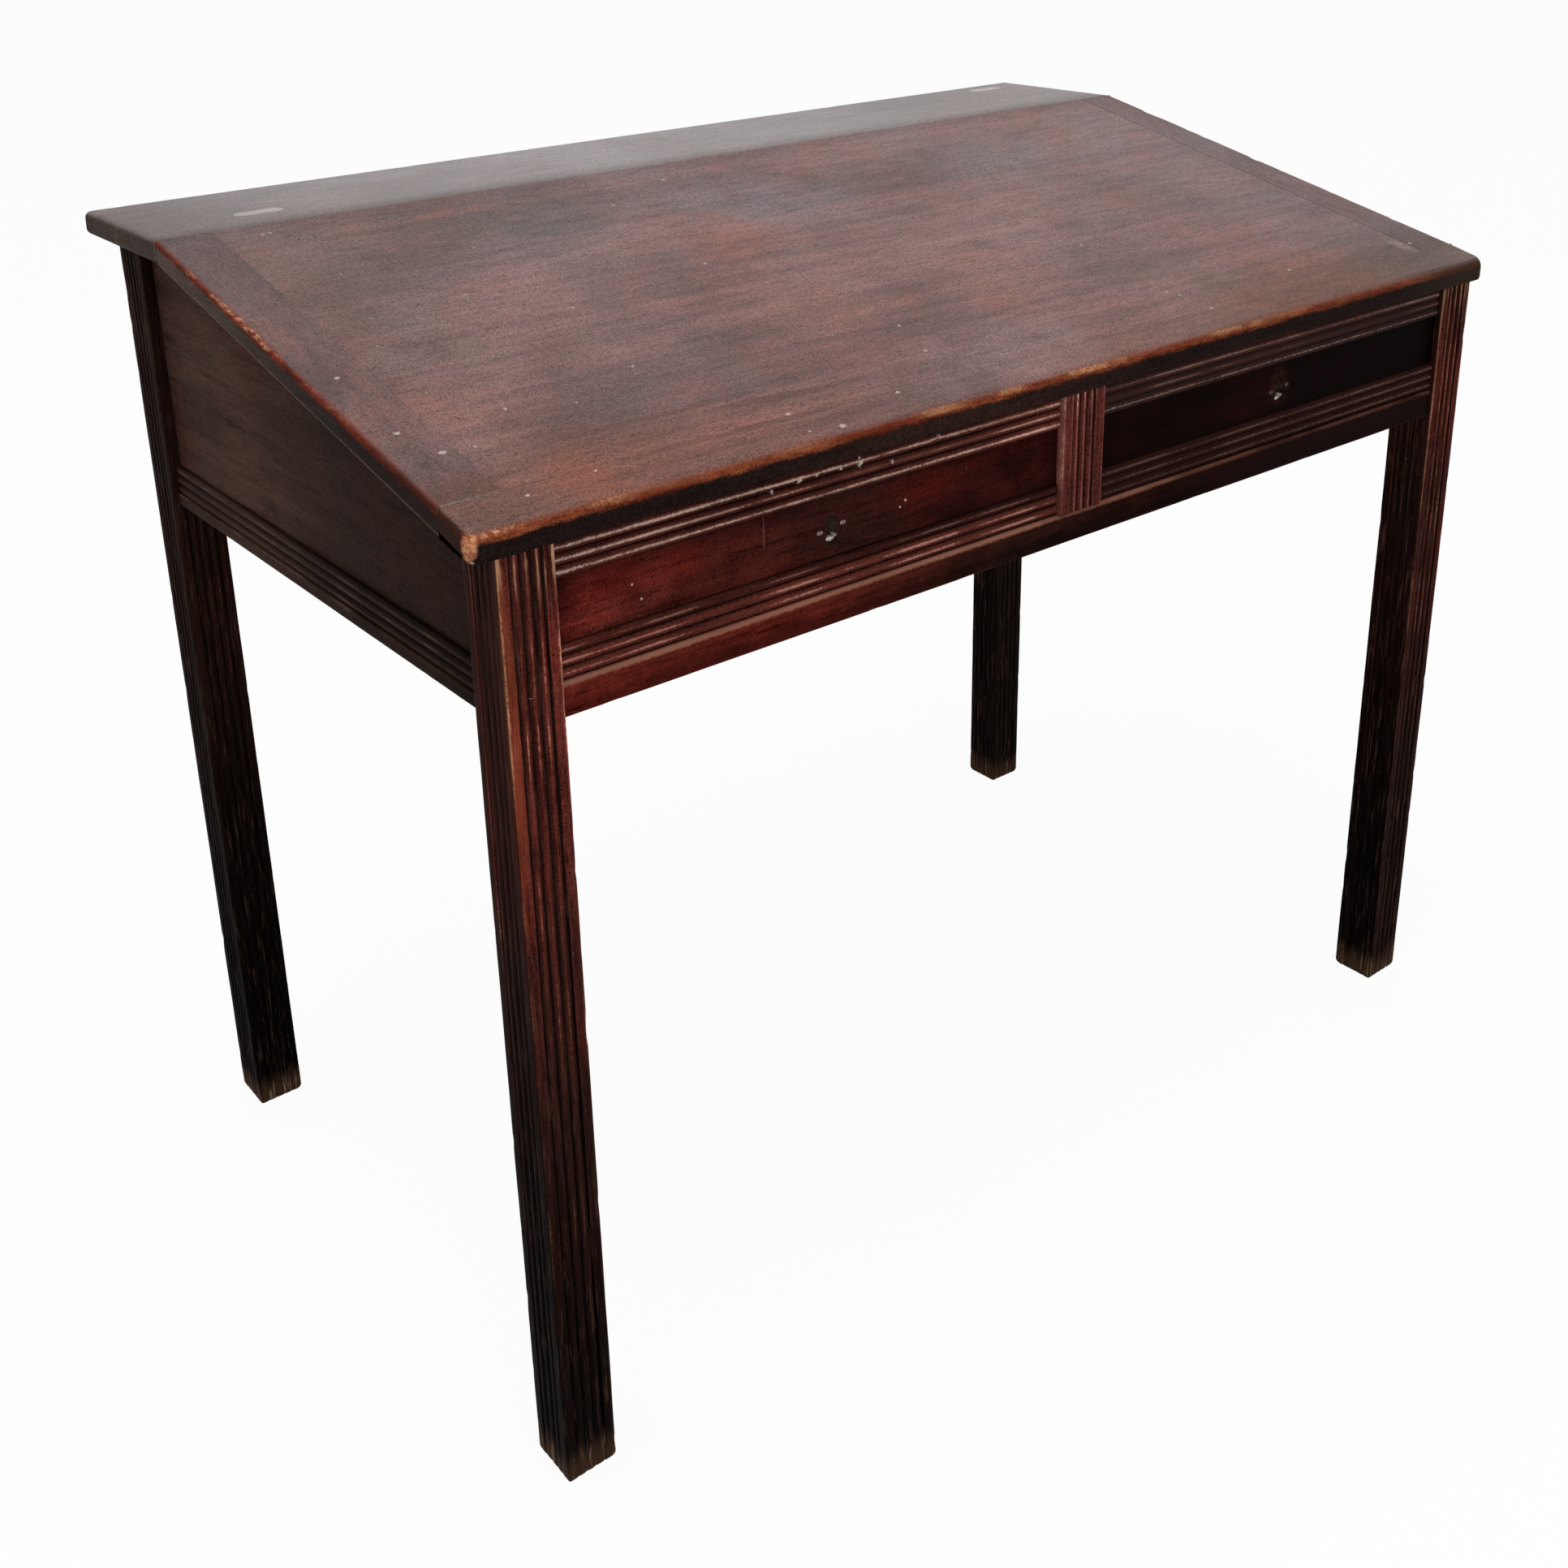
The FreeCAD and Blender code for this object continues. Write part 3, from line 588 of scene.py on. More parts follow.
def rail_fade(wood, colour):
    """The rail is red at the left end, nearly black at the right, and darker along its lower half."""
    colour = colour.tint(wood.x.ramp(-0.45, 0.0) * 0.5, 66, 46, 38)
    low = (1 - (wood.z + (wood.cloud(40) - 0.5) * 0.03).ramp(0.632, 0.647)) * 0.5
    dusk = 1.4 - wood.x.ramp(-0.62, 0.16) * 1.22 - wood.x.ramp(0.28, 0.46) * 0.1
    return colour.darken(dusk * (1 - low))


def rail_bead(wood, colour, ridge, fine):
    """The upper edge of the rail is rubbed to a pale line, except at the right."""
    thin = wood.grain(50, 4, 0.7)
    pale = (ridge + (fine + thin - 1) * 0.8).ramp(0.3, 0.9) * wood.z.ramp(0.645, 0.649)
    colour = colour.tint(pale * (1 - wood.x.ramp(-0.1, 0.2) * 0.9) * (thin * 1.2), 158, 108, 88)
    return colour.tint(wood.x.ramp(0.1, 0.3) * 0.55, 25, 10, 10)


stained("leg_wood", "Z", (66, 30, 26), (112, 50, 43), (138, 44, 36), 0.5, 0.6, grit=2, groove_dirt_and_shade=0.95,
        rubbed=((126, 62, 48), (214, 154, 124), 0.75), glints=1.5, bare=(150, 116, 86), chips=0.2,
        specks=0.035, late=leg_shade_and_wear)
stained("stile_wood", "Z", (70, 32, 29), (112, 54, 48), (124, 46, 40), 0.4, 0.6, grit=2, groove_dirt_and_shade=1.0,
        rubbed=((176, 114, 102), (240, 208, 194), 0.95), glints=2.0, chips=0.15)
stained("rail_wood", "X", (70, 26, 20), (110, 38, 29), (122, 36, 26), 0.4, 0.5,
        rubbed=((104, 58, 46), (150, 100, 82), 0.6), chips=0.1, more=rail_fade, late=rail_bead)
stained("side_wood", "Y", (64, 45, 38), (90, 66, 57), (88, 50, 40), 0.35, grit=2.1, more=side_fade)
stained("side_strip_wood", "Y", (52, 36, 30), (74, 54, 46), (76, 46, 36), streaks=0.4,
        rubbed=((78, 58, 46), (124, 102, 86), 0.38), chips=0.2, more=side_fade)
stained("back_wood", "X", (52, 38, 32), (76, 58, 50), (76, 50, 40), streaks=0.4)
stained("inner_wood", "Y", (118, 88, 60), (150, 116, 82), (140, 98, 66), streaks=0.4, rough=0.75)
print("finishes so far:", len(finishes))


# %% Finishes of the drawers
FACE_Y, KEYHOLE_X = -0.308, 0.25075
NAIL_OUT, NAIL_Z, NAIL_TILT = 0.0105, 0.7005, 0.0015


def front_marks(wood, colour):
    """The left front is red with a dark middle, the right one nearly black, and both have painted shade all
    round, beside the strips, the stile and the legs.
    """
    dusk = 1 - wood.x.ramp(-0.5, -0.02) * 0.72 - wood.x.ramp(-0.02, 0.02) * 0.18
    dusk = dusk - wood.x.ramp(0.12, 0.46) * 0.06
    # Painted shade beside the stile and the legs (ends) and beside the strips above and below.
    across = abs(wood.x)
    ends = across.ramp(0.02, 0.06) * (1 - across.ramp(0.445, 0.482))
    away_from_painted_shade = wood.z.ramp(0.674, 0.694) * (1 - wood.z.ramp(0.705, 0.727))
    patchy = wood.cloud(24, 4, 0.6).ramp(0.36, 0.6) * 0.5 + 0.6
    colour = colour.darken(dusk * patchy * (ends * 0.5 + 0.5) * (away_from_painted_shade * 0.45 + 0.55))
    colour = wood.blend(wood.x.ramp(-0.02, 0.02), colour, (0.78, 0.95, 1.1, 1), "MULTIPLY")
    for x, reach in ((-0.44, 0.05), (-0.385, 0.035), (-0.17, 0.06)):
        glow = wood.spot((x, FACE_Y, 0.708), (reach, 0.05, 0.022), 0.9)
        colour = colour.tint(glow * 0.4, 120, 30, 22)
    shadow = wood.spot((-0.235, FACE_Y, 0.7), (0.12, 0.1, 0.05), 0.9)
    colour = colour.tint(shadow * 0.55, 46, 29, 25)
    ghost = wood.spot((KEYHOLE_X, FACE_Y, 0.703), (0.017, 0.02, 0.023), 0.8)
    return colour.tint(ghost * wood.cloud(150).ramp(0.3, 0.6) * 0.35, 86, 58, 42)


def front_scars(wood, colour, ridge, fine):
    """Keyholes without plates, the nails of the lost plates and a scratch."""
    for x, nails in ((-KEYHOLE_X, 0.85), (KEYHOLE_X, 0.3)):
        rim = wood.spot((x, -0.300, 0.7025), (0.0078, 0.012, 0.0135), 0.5)
        colour = colour.tint(rim * (fine + 0.3) * (nails * 0.8 + 0.3), 104, 96, 82)
        chip = wood.spot((x, -0.306, 0.6935), (0.0052, 0.01, 0.004), 0.3)
        colour = colour.tint(chip, 220, 210, 200)
        for side in (-1, 1):
            nail = (x + side * NAIL_OUT, FACE_Y, NAIL_Z + side * NAIL_TILT)
            pit = wood.spot(nail, (0.0038, 0.01, 0.0021), 0.8)
            colour = colour.tint((pit * (fine * 2 + 0.2)).ramp(0.15, 0.7) * nails, 170, 146, 138)
    scratch_x = -0.311
    near = wood.spot((scratch_x, FACE_Y, 0.714), (0.01, 0.1, 0.017), 0.3)
    line = (0.0005 - abs(wood.x - scratch_x)).ramp(0, 0.0003) * near * fine.ramp(0.35, 0.55)
    colour = colour.tint(line * 0.6, 140, 96, 84)
    drops = ((-0.420, 0.704, 1.2), (-0.413, 0.692, 1.2), (-0.181, 0.704, 1.4), (-0.186, 0.700, 1.4))
    return drops_on(wood, colour, fine, drops, upright=True)


def strip_paint(wood, colour, ridge, fine):
    """Old paint on the upper left strip. The lower strips are redder, those on the right in shade."""
    thin = wood.grain(60, 4, 0.7)
    broken = wood.fleck(200, 4, 0.7)
    worn = (ridge + (fine + thin + broken - 1.5) * 1.1).ramp(0.5, 1.15)
    upper, top = wood.z.ramp(0.70, 0.71), wood.z.ramp(0.7395, 0.7415)
    right = wood.x.ramp(-0.01, 0.01)
    left_end = 1 - (wood.x + (fine - 0.5) * 0.2).ramp(-0.42, -0.33)
    third = (1 - wood.z.ramp(0.7315, 0.733)) * upper
    rubbed_off = wood.x.ramp(-0.22, -0.08) * 0.5
    paint = top * (1 - rubbed_off) + third * (1 - left_end) * (0.7 - rubbed_off * 0.4)
    paint = worn * (paint * (1 - right) + left_end * (upper - top) * 0.9)
    colour = colour.tint(paint, 190, 164, 150)
    colour = drops_on(wood, colour, fine, (
        (-0.304, 0.7406, 2.0), (-0.280, 0.743, 2.8), (-0.265, 0.7436, 1.6), (-0.243, 0.7432, 1.6),
        (-0.225, 0.7428, 3.2), (-0.226, 0.7474, 1.4)), upright=True)
    redder = (1 - upper) * ridge * (1 - wood.x.ramp(-0.46, -0.24) * 0.4)
    colour = wood.blend(redder * 0.85, colour, (0.75, 0.4, 0.42, 1), "MULTIPLY")
    first_low = wood.z.ramp(0.6695, 0.6715) * (1 - upper)
    shade = 1.1 + upper * wood.x.ramp(-0.32, -0.1) * 0.3 - (upper - top - third) * (1 - left_end) * 0.2
    shade = shade - first_low * (wood.x.ramp(-0.46, -0.12) * 0.35 + 0.4)
    colour = colour.darken(wood.blend(right, shade, 0.78 - (1 - upper) * 0.5 - (upper - top) * 0.38))
    colour = wood.blend(right * 0.35, colour, wood.blend(upper, stain(54, 30, 26), stain(60, 48, 45)))
    glint = (ridge + (fine + thin - 1) * 1.2).ramp(0.75, 1.15) * right
    return colour.tint(glint * (third + top * 0.5 + (1 - upper) * 0.3) * 0.8, 150, 134, 124)


stained("front_wood", "X", (83, 32, 28), (118, 50, 43), (142, 46, 37), 0.45, 0.45, grit=1.9, lines=0.18,
        specks=0.05, more=front_marks, late=front_scars)
stained("strip_wood", "X", (74, 38, 33), (108, 56, 47), (116, 46, 37), streaks=0.4, grit=2, groove_dirt_and_shade=0.95,
        rubbed=((112, 66, 55), (196, 156, 138), 0.75), glints=1.4, bare=(178, 150, 140), chips=0.15,
        late=strip_paint)
stained("drawer_wood", "Y", (128, 96, 64), (164, 128, 90), (150, 106, 70), streaks=0.4, rough=0.7)
print("wooden finishes:", len(finishes))

# %% [markdown]
# ## Iron and steel of the locks
#
# Each drawer has a small iron lock behind its keyhole. A metal finish is a grey with patches of
# rust: one noise chooses between clean metal and rust, which is rough and not metallic, and a
# finer noise breaks up both.


# %% Metal finishes
def old_metal(name, clean, rust, rusted, rough):
    metal = Wood(name, "X")
    patch = metal.cloud(120, 5, 0.65).ramp(0.62 - rusted, 0.78 - rusted * 0.5)
    fine = metal.cloud(1600)
    colour = metal.blend(patch, stain(*clean), stain(*rust))
    colour = colour.darken(fine * 0.5 + 0.75)
    normal = metal.node("Bump", inputs={"Strength": 0.2, "Distance": 0.0003, "Height": fine + patch * 0.6})
    surface = metal.node("BsdfPrincipled", inputs={
        "Base Color": colour, "Metallic": 0.9 - patch * 0.8, "Roughness": patch * 0.4 + rough,
        "Normal": normal})
    metal.node("OutputMaterial", inputs={"Surface": surface})
    finishes[name] = metal.material


old_metal("lock_iron", (104, 100, 96), (84, 52, 36), 0.2, 0.42)
old_metal("bolt_steel", (150, 146, 140), (96, 64, 44), 0.06, 0.3)
old_metal("screw_steel", (138, 132, 124), (92, 60, 42), 0.12, 0.34)
print("all finishes:", len(finishes))

# %% [markdown]
# ## Pieces carried along a run
#
# Most of the desk is moulding: one section that runs straight for half a metre or more. Curves
# with a bevel object could do that, but worn wood needs every point moved a little. So a section
# is a closed line of points, and `carry` repeats it at many stations, wears each point down by
# noise where it is a ridge, closes the ends and stores ridge, groove and bare for the stain.


# %% Wear
KNOCK_LEVEL, KNOCK_SIZE, KNOCK_SHIFT = 0.36, 0.3, Vector((7.3, 1.9, 4.1))
GOUGE_GRAIN = 260


def wear_at(point, ridge, depth, size, bites):
    """How far a point is worn in, and how bare it is."""
    rub = 0.5 + 0.5 * noise.fractal(point / size, 0.9, 2.1, 4)
    knock = noise.noise(point / (size * KNOCK_SIZE) + KNOCK_SHIFT)
    knock = max(0.0, knock - KNOCK_LEVEL) / (1 - KNOCK_LEVEL)
    sunk = ridge * depth * (0.35 * max(0.0, rub) + 1.2 * knock)
    bared = 0.0
    for centre, reach, deep, raw in bites:
        near = (point - Vector(centre)).length / reach
        if near < 1:
            gouge = 1 - near * near
            sunk += deep * gouge * (0.7 + 0.5 * noise.noise(point * GOUGE_GRAIN))
            bared = max(bared, raw * gouge)
    return sunk, bared


# %% Carry a section
END_ROUND, END_RIDGE = 0.002, 0.8
SHARP = math.radians(38)


def carry(name, section_at, stations, place, depth, size, bites=()):
    """A closed section, points of (a, b, ridge, groove, free_a, free_b), repeated along a run."""
    points, marks = [], {"ridge": [], "groove": [], "bare": []}
    for s, inset in stations:
        section = section_at(s) if callable(section_at) else section_at
        count = len(section)
        area = sum(p[0] * q[1] - q[0] * p[1] for p, q in zip(section, section[1:] + section[:1]))
        turn = 1 if area > 0 else -1
        for i, (a, b, ridge, groove, free_a, free_b) in enumerate(section):
            before, after = section[i - 1], section[(i + 1) % count]
            tangent = Vector((after[0] - before[0], after[1] - before[1])).normalized()
            out_a, out_b = turn * tangent.y, -turn * tangent.x
            end = min(1.0, inset / END_ROUND) * END_RIDGE * max(free_a, free_b)
            sunk, bared = wear_at(Vector(place(a, b, s)), max(ridge, end), depth, size, bites)
            points.append(place(a - out_a * (inset * free_a + sunk), b - out_b * (inset * free_b + sunk), s))
            marks["ridge"].append(max(ridge, end))
            marks["groove"].append(groove)
            marks["bare"].append(bared)
    last = len(points) - count
    faces = [tuple(range(count)), tuple(range(last, last + count))]
    for start in range(0, last, count):
        for i in range(count):
            j = (i + 1) % count
            faces.append((start + i, start + j, start + count + j, start + count + i))
    mesh = bpy.data.meshes.new(name)
    mesh.from_pydata(points, [], faces)
    for mark, values in marks.items():
        mesh.attributes.new(mark, "FLOAT", "POINT").data.foreach_set("value", values)
    shell = bmesh.new()
    shell.from_mesh(mesh)
    bmesh.ops.recalc_face_normals(shell, faces=shell.faces)
    shell.to_mesh(mesh)
    shell.free()
    mesh.shade_smooth()
    mesh.set_sharp_from_angle(angle=SHARP)
    return bpy.data.objects.new(name, mesh)


# %% Put a piece on the desk
slot_of = {entry["node"]: entry["material_slot"] for entry in frame["record"]["subparts"]}
body_of = {node: body for body, nodes in frame["record"]["behaviour"]["bodies"].items() for node in nodes}


def fit(piece, node, finish=None):
    """The piece takes the node's place, its body and its finish."""
    piece.data.materials.clear()
    piece.data.materials.append(finishes[finish or slot_of[node]])
    scene.collection.objects.link(piece)
    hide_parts(node)
    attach(piece, body_of[node])
    return piece


def lay(node, section_at, stations, place, depth, size, bites=(), finish=None):
    """Carries a section along a run and puts it in the node's place.

    Ridges wear down by up to depth, in patches of about size.
    """
    piece = fit(carry(node + "_worn", section_at, stations, place, depth, size, bites), node, finish)
    print(piece.name, len(piece.data.vertices), "points")


def along_x(y, z, x):
    return x, y, z


def along_y(x, z, y):
    return x, y, z


def under_top(x, y, z):
    """Upright pieces end just below the top."""
    return x, y, min(z, top_z(y) - THICK - 0.0001)


def steps(start, stop, pitch, round_start=0.0, round_stop=0.0):
    """Stations of a run, with how far the section shrinks where an end is rounded."""
    found = []
    arc = [math.radians(angle) for angle in range(0, 90, 18)]
    for a in arc if round_start else ():
        found.append((start + round_start * (1 - math.cos(a)), round_start * (1 - math.sin(a))))
    first, final = start + round_start, stop - round_stop
    count = max(1, round((final - first) / pitch))
    found += [(first + (final - first) * i / count, 0.0) for i in range(count + 1)]
    for a in reversed(arc) if round_stop else ():
        found.append((stop - round_stop * (1 - math.cos(a)), round_stop * (1 - math.sin(a))))
    return found


print("slots:", len(set(slot_of.values())), "nodes with a slot:", len(slot_of))

# %% [markdown]
# ## Reeded legs
#
# Each leg is a square post. On every face a flat fillet, three round reeds and another fillet
# were planed. The section is worked out once from the plane's pitch and depth. Above the rails
# only the outer faces are reeded, because the inner ones take the joints. The feet have been
# dragged over floors, so they are rounded off and ragged.

# %% The reeded face
REEDS, REED_PITCH, REED_DEPTH, REED_POINTS = 3, 0.008, 0.0022, 8
GROOVE_LIP, ARRIS = 0.0009, 0.0014


def reeded_face(width, reeded, margin=0.0, depth=REED_DEPTH):
    """Points along a face as (distance along, depth below the face, ridge, groove)."""
    first = (width - REEDS * REED_PITCH) / 2
    line = [(margin, 0.0, 0.8, 0.0), (margin + 0.0022, 0.0, 0.35, 0.0), (first - 0.0028, 0.0, 0.1, 0.0)]
    line.append((first - GROOVE_LIP, 0.0, 0.75, 0.0))
    for reed in range(REEDS):
        for k in range(REED_POINTS):
            t = k / REED_POINTS
            hump = math.sin(math.pi * t) ** 0.75
            along = first + (reed + t) * REED_PITCH
            line.append((along, depth * (1 - hump), hump ** 9 * 0.9, (1 - hump) ** 1.2))
    line.append((first + REEDS * REED_PITCH, depth, 0.0, 1.0))
    line += [(width - a, d, r, g) for a, d, r, g in reversed(line[:4])]
    if not reeded:
        line = [(a, 0.0, 0.0, 0.0) for a, _, _, _ in line]
    return line


def post_section(x0, y0, size, reeded, depth=REED_DEPTH):
    """A square post; reeded says which of front, right, back and left have reeds."""
    corners = [(x0, y0), (x0 + size, y0), (x0 + size, y0 + size), (x0, y0 + size)]
    ways = [(1, 0), (0, 1), (-1, 0), (0, -1)]
    section = []
    for side in range(4):
        (cx, cy), (ax, ay) = corners[side], ways[side]
        for a, d, ridge, groove in reeded_face(size, reeded[side], ARRIS, depth):
            section.append((cx + ax * a - ay * d, cy + ay * a + ax * d, ridge, groove, 1, 1))
        nx, ny = corners[(side + 1) % 4]
        bx, by = ways[(side + 1) % 4]
        for angle in (30, 60):
            c, s = math.cos(math.radians(angle)), math.sin(math.radians(angle))
            back, on = ARRIS * (1 - s), ARRIS * (1 - c)
            section.append((nx - ax * back + bx * on, ny - ay * back + by * on, 1.0, 0.0, 1, 1))
    return section


# %% Carry the legs
RAIL_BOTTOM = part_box("front_bottom_rail")[0].z
REEDS_END, FOOT_WEAR, FOOT_HEIGHT, HAIR = 0.033, 0.0021, 0.006, 0.0002
SHAFT_START, LEG_PITCH = 0.038, 0.007
foot_mm = (0, 0.4, 1, 1.8, 2.8, 4, 5.5, 7.5, 10, 14, 18, 22, 27, 32)
leg_outer = {
    "leg_front_left": (True, False, False, True), "leg_front_right": (True, True, False, False),
    "leg_back_left": (False, False, True, True), "leg_back_right": (False, True, True, False)}
for node, outer in leg_outer.items():
    low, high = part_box(node)
    size = high.x - low.x
    lower, upper = post_section(low.x, low.y, size, (True,) * 4), post_section(low.x, low.y, size, outer)
    foot = [(z / 1000, 0.0) for z in foot_mm]
    shaft = steps(SHAFT_START, RAIL_BOTTOM - HAIR, LEG_PITCH)
    head = steps(RAIL_BOTTOM + HAIR, high.z, LEG_PITCH)

    def worn_post(z):
        """The reeds die out in the last 30 mm above the floor."""
        if z > RAIL_BOTTOM:
            return upper
        if z > REEDS_END:
            return lower
        less = FOOT_WEAR * (1 - min(1.0, z / FOOT_HEIGHT)) ** 2.2
        depth = REED_DEPTH * (0.35 + 0.65 * z / REEDS_END)
        return post_section(low.x + less, low.y + less, size - 2 * less, (True,) * 4, depth)

    lay(node, worn_post, foot + shaft + head, under_top, 0.0011, 0.06)

# %% [markdown]
# ## The top
#
# The flat board and the sloping top are plain boards with rounded outer edges. A cube with a
# bevel would stay straight and clean. Here the boards are carried like the mouldings, from a
# section with rounded corners, so that the sloping edges can be rubbed through to orange wood
# and chipped, as they are where sleeves and chairs reach them.


# %% A section with rounded corners
CRISP, BESIDE_CORNER, CLEAR_OF_CORNER = 0.0003, (0.002, 0.0045), 0.006


def rounded(corners, pitch=0.03, fade=0.0026):
    """Corners are (a, b, radius, ridge, free_a, free_b); straight sides are divided."""
    line = []
    count = len(corners)
    for i, (a, b, radius, _, free_a, free_b) in enumerate(corners):
        here, before = Vector((a, b)), Vector(corners[i - 1][:2])
        following = corners[(i + 1) % count]
        after = Vector(following[:2])
        enter = here + (before - here).normalized() * radius
        leave = here + (after - here).normalized() * radius
        bends = 6 if radius > 0.001 else 2
        for k in range(bends + 1):
            t = k / bends
            line.append(((1 - t) ** 2 * enter + 2 * t * (1 - t) * here + t * t * leave, free_a, free_b))
        stop = after + (here - after).normalized() * following[2]
        gap = (stop - leave).length
        beside = [d for d in BESIDE_CORNER if d < gap / 3]
        parts = max(1, round(gap / pitch))
        middle = [gap * k / parts for k in range(1, parts)]
        places = [d for d in middle if CLEAR_OF_CORNER < d < gap - CLEAR_OF_CORNER]
        places = beside + places + [gap - d for d in reversed(beside)]
        for d in places:
            free = (free_a, free_b) if d < gap / 2 else following[4:]
            line.append((leave + (stop - leave) * (d / gap), *free))
    section = []
    for point, free_a, free_b in line:
        worn = 0.0
        for a, b, radius, ridge, _, _ in corners:
            far = max(0.0, (point - Vector((a, b))).length - 0.36 * radius)
            worn = max(worn, ridge * math.exp(-((far / fade) ** 2)))
        section.append((point.x, point.y, worn, 0.0, free_a, free_b))
    return section


# %% Flat board
low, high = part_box("flat_board")
lid = high.z - 0.00015
board = rounded([(low.y, lid, 0.0004, 0.1, 0, 1), (high.y, lid, 0.005, 0.8, 1, 1),
                 (high.y, low.z, 0.004, 0.6, 1, 1), (low.y, low.z, 0.0004, 0.1, 0, 1)])
lay("flat_board", board, steps(low.x, high.x, 0.006, 0.006, 0.006), along_x, 0.0007, 0.05)

# %% Sloping panel
def dipped(y, z, x):
    """The panel has sunk a little, here and there."""
    return x, y, top_z(y) + z - 0.0001 - 0.0002 * abs(noise.noise(Vector((x * 5, y * 7, 0))))


low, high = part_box("slope_panel")
panel = rounded([(low.y, 0.0, CRISP, 0.0, 0, 1), (high.y, 0.0, CRISP, 0.0, 0, 1),
                 (high.y, -THICK, CRISP, 0.0, 0, 1), (low.y, -THICK, CRISP, 0.0, 0, 1)], 0.012)
lay("slope_panel", panel, steps(low.x, high.x, 0.012, CRISP, CRISP), dipped, 0.0003, 0.05)

# %% Cleats at the ends of the slope
knocks = ((0.078, 0.004, 0.0007), (0.046, 0.006, 0.0010), (0.012, 0.004, 0.0006), (-0.03, 0.006, 0.0010),
          (-0.052, 0.004, 0.0007), (-0.13, 0.004, 0.0006), (-0.235, 0.005, 0.0008))
for node, side in (("slope_cleat_left", -1), ("slope_cleat_right", 1)):
    low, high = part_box(node)
    inner, outer = (high.x, low.x) if side < 0 else (low.x, high.x)
    cleat = rounded([(inner, 0.0, CRISP, 0.0, 1, 1), (outer, 0.0, 0.005, 1.0, 1, 1),
                     (outer, -THICK, 0.003, 0.7, 1, 1), (inner, -THICK, CRISP, 0.0, 1, 1)], fade=0.0034)
    bites = [((outer, y, top_z(y)), reach, deep, 0.6) for y, reach, deep in knocks] if side < 0 else []
    lay(node, cleat, steps(low.y, high.y, 0.004), lambda x, z, y: (x, y, top_z(y) + z), 0.0012, 0.05,
        bites, "cleat_wood")

# %% Front strip of the slope
low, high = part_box("slope_front_strip")
back_top = top_z(high.y)
lip = rounded([(low.y, FRONT_TOP, 0.008, 1.0, 1, 1), (low.y, FRONT_TOP - THICK, 0.004, 0.4, 1, 1),
               (high.y, back_top - THICK, CRISP, 0.0, 0, 1), (high.y, back_top, CRISP, 0.0, 0, 1)],
              fade=0.0028)


def corner_worn(y, z, x):
    """The corners are rounded in plan, the right one more than the left."""
    reach = 0.007 if x < 0 else 0.012
    over = max(0.0, abs(x) - (high.x - reach)) / reach
    near = max(0.0, min(1.0, (high.y - y) / (high.y - low.y)))
    return x, y + reach * (1 - math.sqrt(max(0.0, 1 - over * over))) * near, z


knocks = ((low.x + 0.03, 0.008, 0.0008), (-0.36, 0.006, 0.0007), (-0.21, 0.006, 0.0006),
          (0.18, 0.008, 0.0007), (0.41, 0.006, 0.0006))
bites = [((x, low.y, FRONT_TOP), reach, deep, 0.4) for x, reach, deep in knocks]
lay("slope_front_strip", lip, steps(low.x, high.x, 0.004, 0.005, 0.005), corner_worn, 0.0012, 0.045, bites)

# %% [markdown]
# ## The front of the frame
#
# A rail runs under the drawers and a reeded stile stands between them. Shoes and drawers have
# rubbed the upper edge of the rail to a pale bead. Both are carried sections again, so the bead
# is a real rounded edge and not a painted line.

# %% Rail and stile
low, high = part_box("front_bottom_rail")
leg_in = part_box("leg_front_right")[0].x
rail = rounded([(low.y, high.z, 0.003, 1.0, 0, 0), (low.y, low.z, 0.0012, 0.5, 0, 0),
                (high.y, low.z, 0.0012, 0.4, 0, 0), (high.y, high.z, 0.0008, 0.4, 0, 0)])
lay("front_bottom_rail", rail, steps(-leg_in, leg_in, 0.005), along_x, 0.0007, 0.04)

low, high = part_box("centre_stile")
face = [(low.x + a, low.y + d, *marks, 0, 0) for a, d, *marks in reeded_face(high.x - low.x, True)]
stile = face + [(high.x, high.y, 0.2, 0, 0, 0), (low.x, high.y, 0.2, 0, 0, 0)]
lay("centre_stile", stile, steps(low.z, high.z, 0.004), under_top, 0.0007, 0.03)

# %% [markdown]
# ## Reeded strips
#
# Strips with three reeds run along the top and bottom of each drawer front, and along the foot
# of each side. They share one section, turned to face the front or the side.


# %% Carry the strips
HANDS = ("left", "right")


def strip_section(face, back, low, high):
    """Three reeds from low to high, their tops at face."""
    pitch = (high - low) / REEDS
    sink = REED_DEPTH if back > face else -REED_DEPTH
    section = []
    for k in range(REEDS * REED_POINTS + 1):
        t = k / REED_POINTS
        hump = abs(math.sin(math.pi * t)) ** 0.75
        section.append((face + sink * (1 - hump), low + t * pitch, hump ** 6, (1 - hump) ** 1.2, 0, 0))
    return section + [(back, high, 0, 0, 0, 0), (back, low, 0, 0, 0, 0)]


for hand in HANDS:
    for level_name in ("upper", "lower"):
        node = f"drawer_{hand}_{level_name}_strip"
        low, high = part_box(node)
        bites = [((-0.15, low.y, high.z - 0.004), 0.007, 0.0014, 0.8),
                 ((-0.195, low.y, high.z - 0.012), 0.005, 0.001, 1.0)]
        lay(node, strip_section(low.y, high.y, low.z, high.z), steps(low.x, high.x, 0.004), along_x,
            0.0007, 0.04, bites if node == "drawer_left_upper_strip" else ())
    node = f"side_reeded_strip_{hand}"
    low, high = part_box(node)
    face, back = (low.x, high.x) if hand == "left" else (high.x, low.x)
    lay(node, strip_section(face, back, low.z, high.z), steps(low.y, high.y, 0.006), along_y, 0.0006, 0.04)

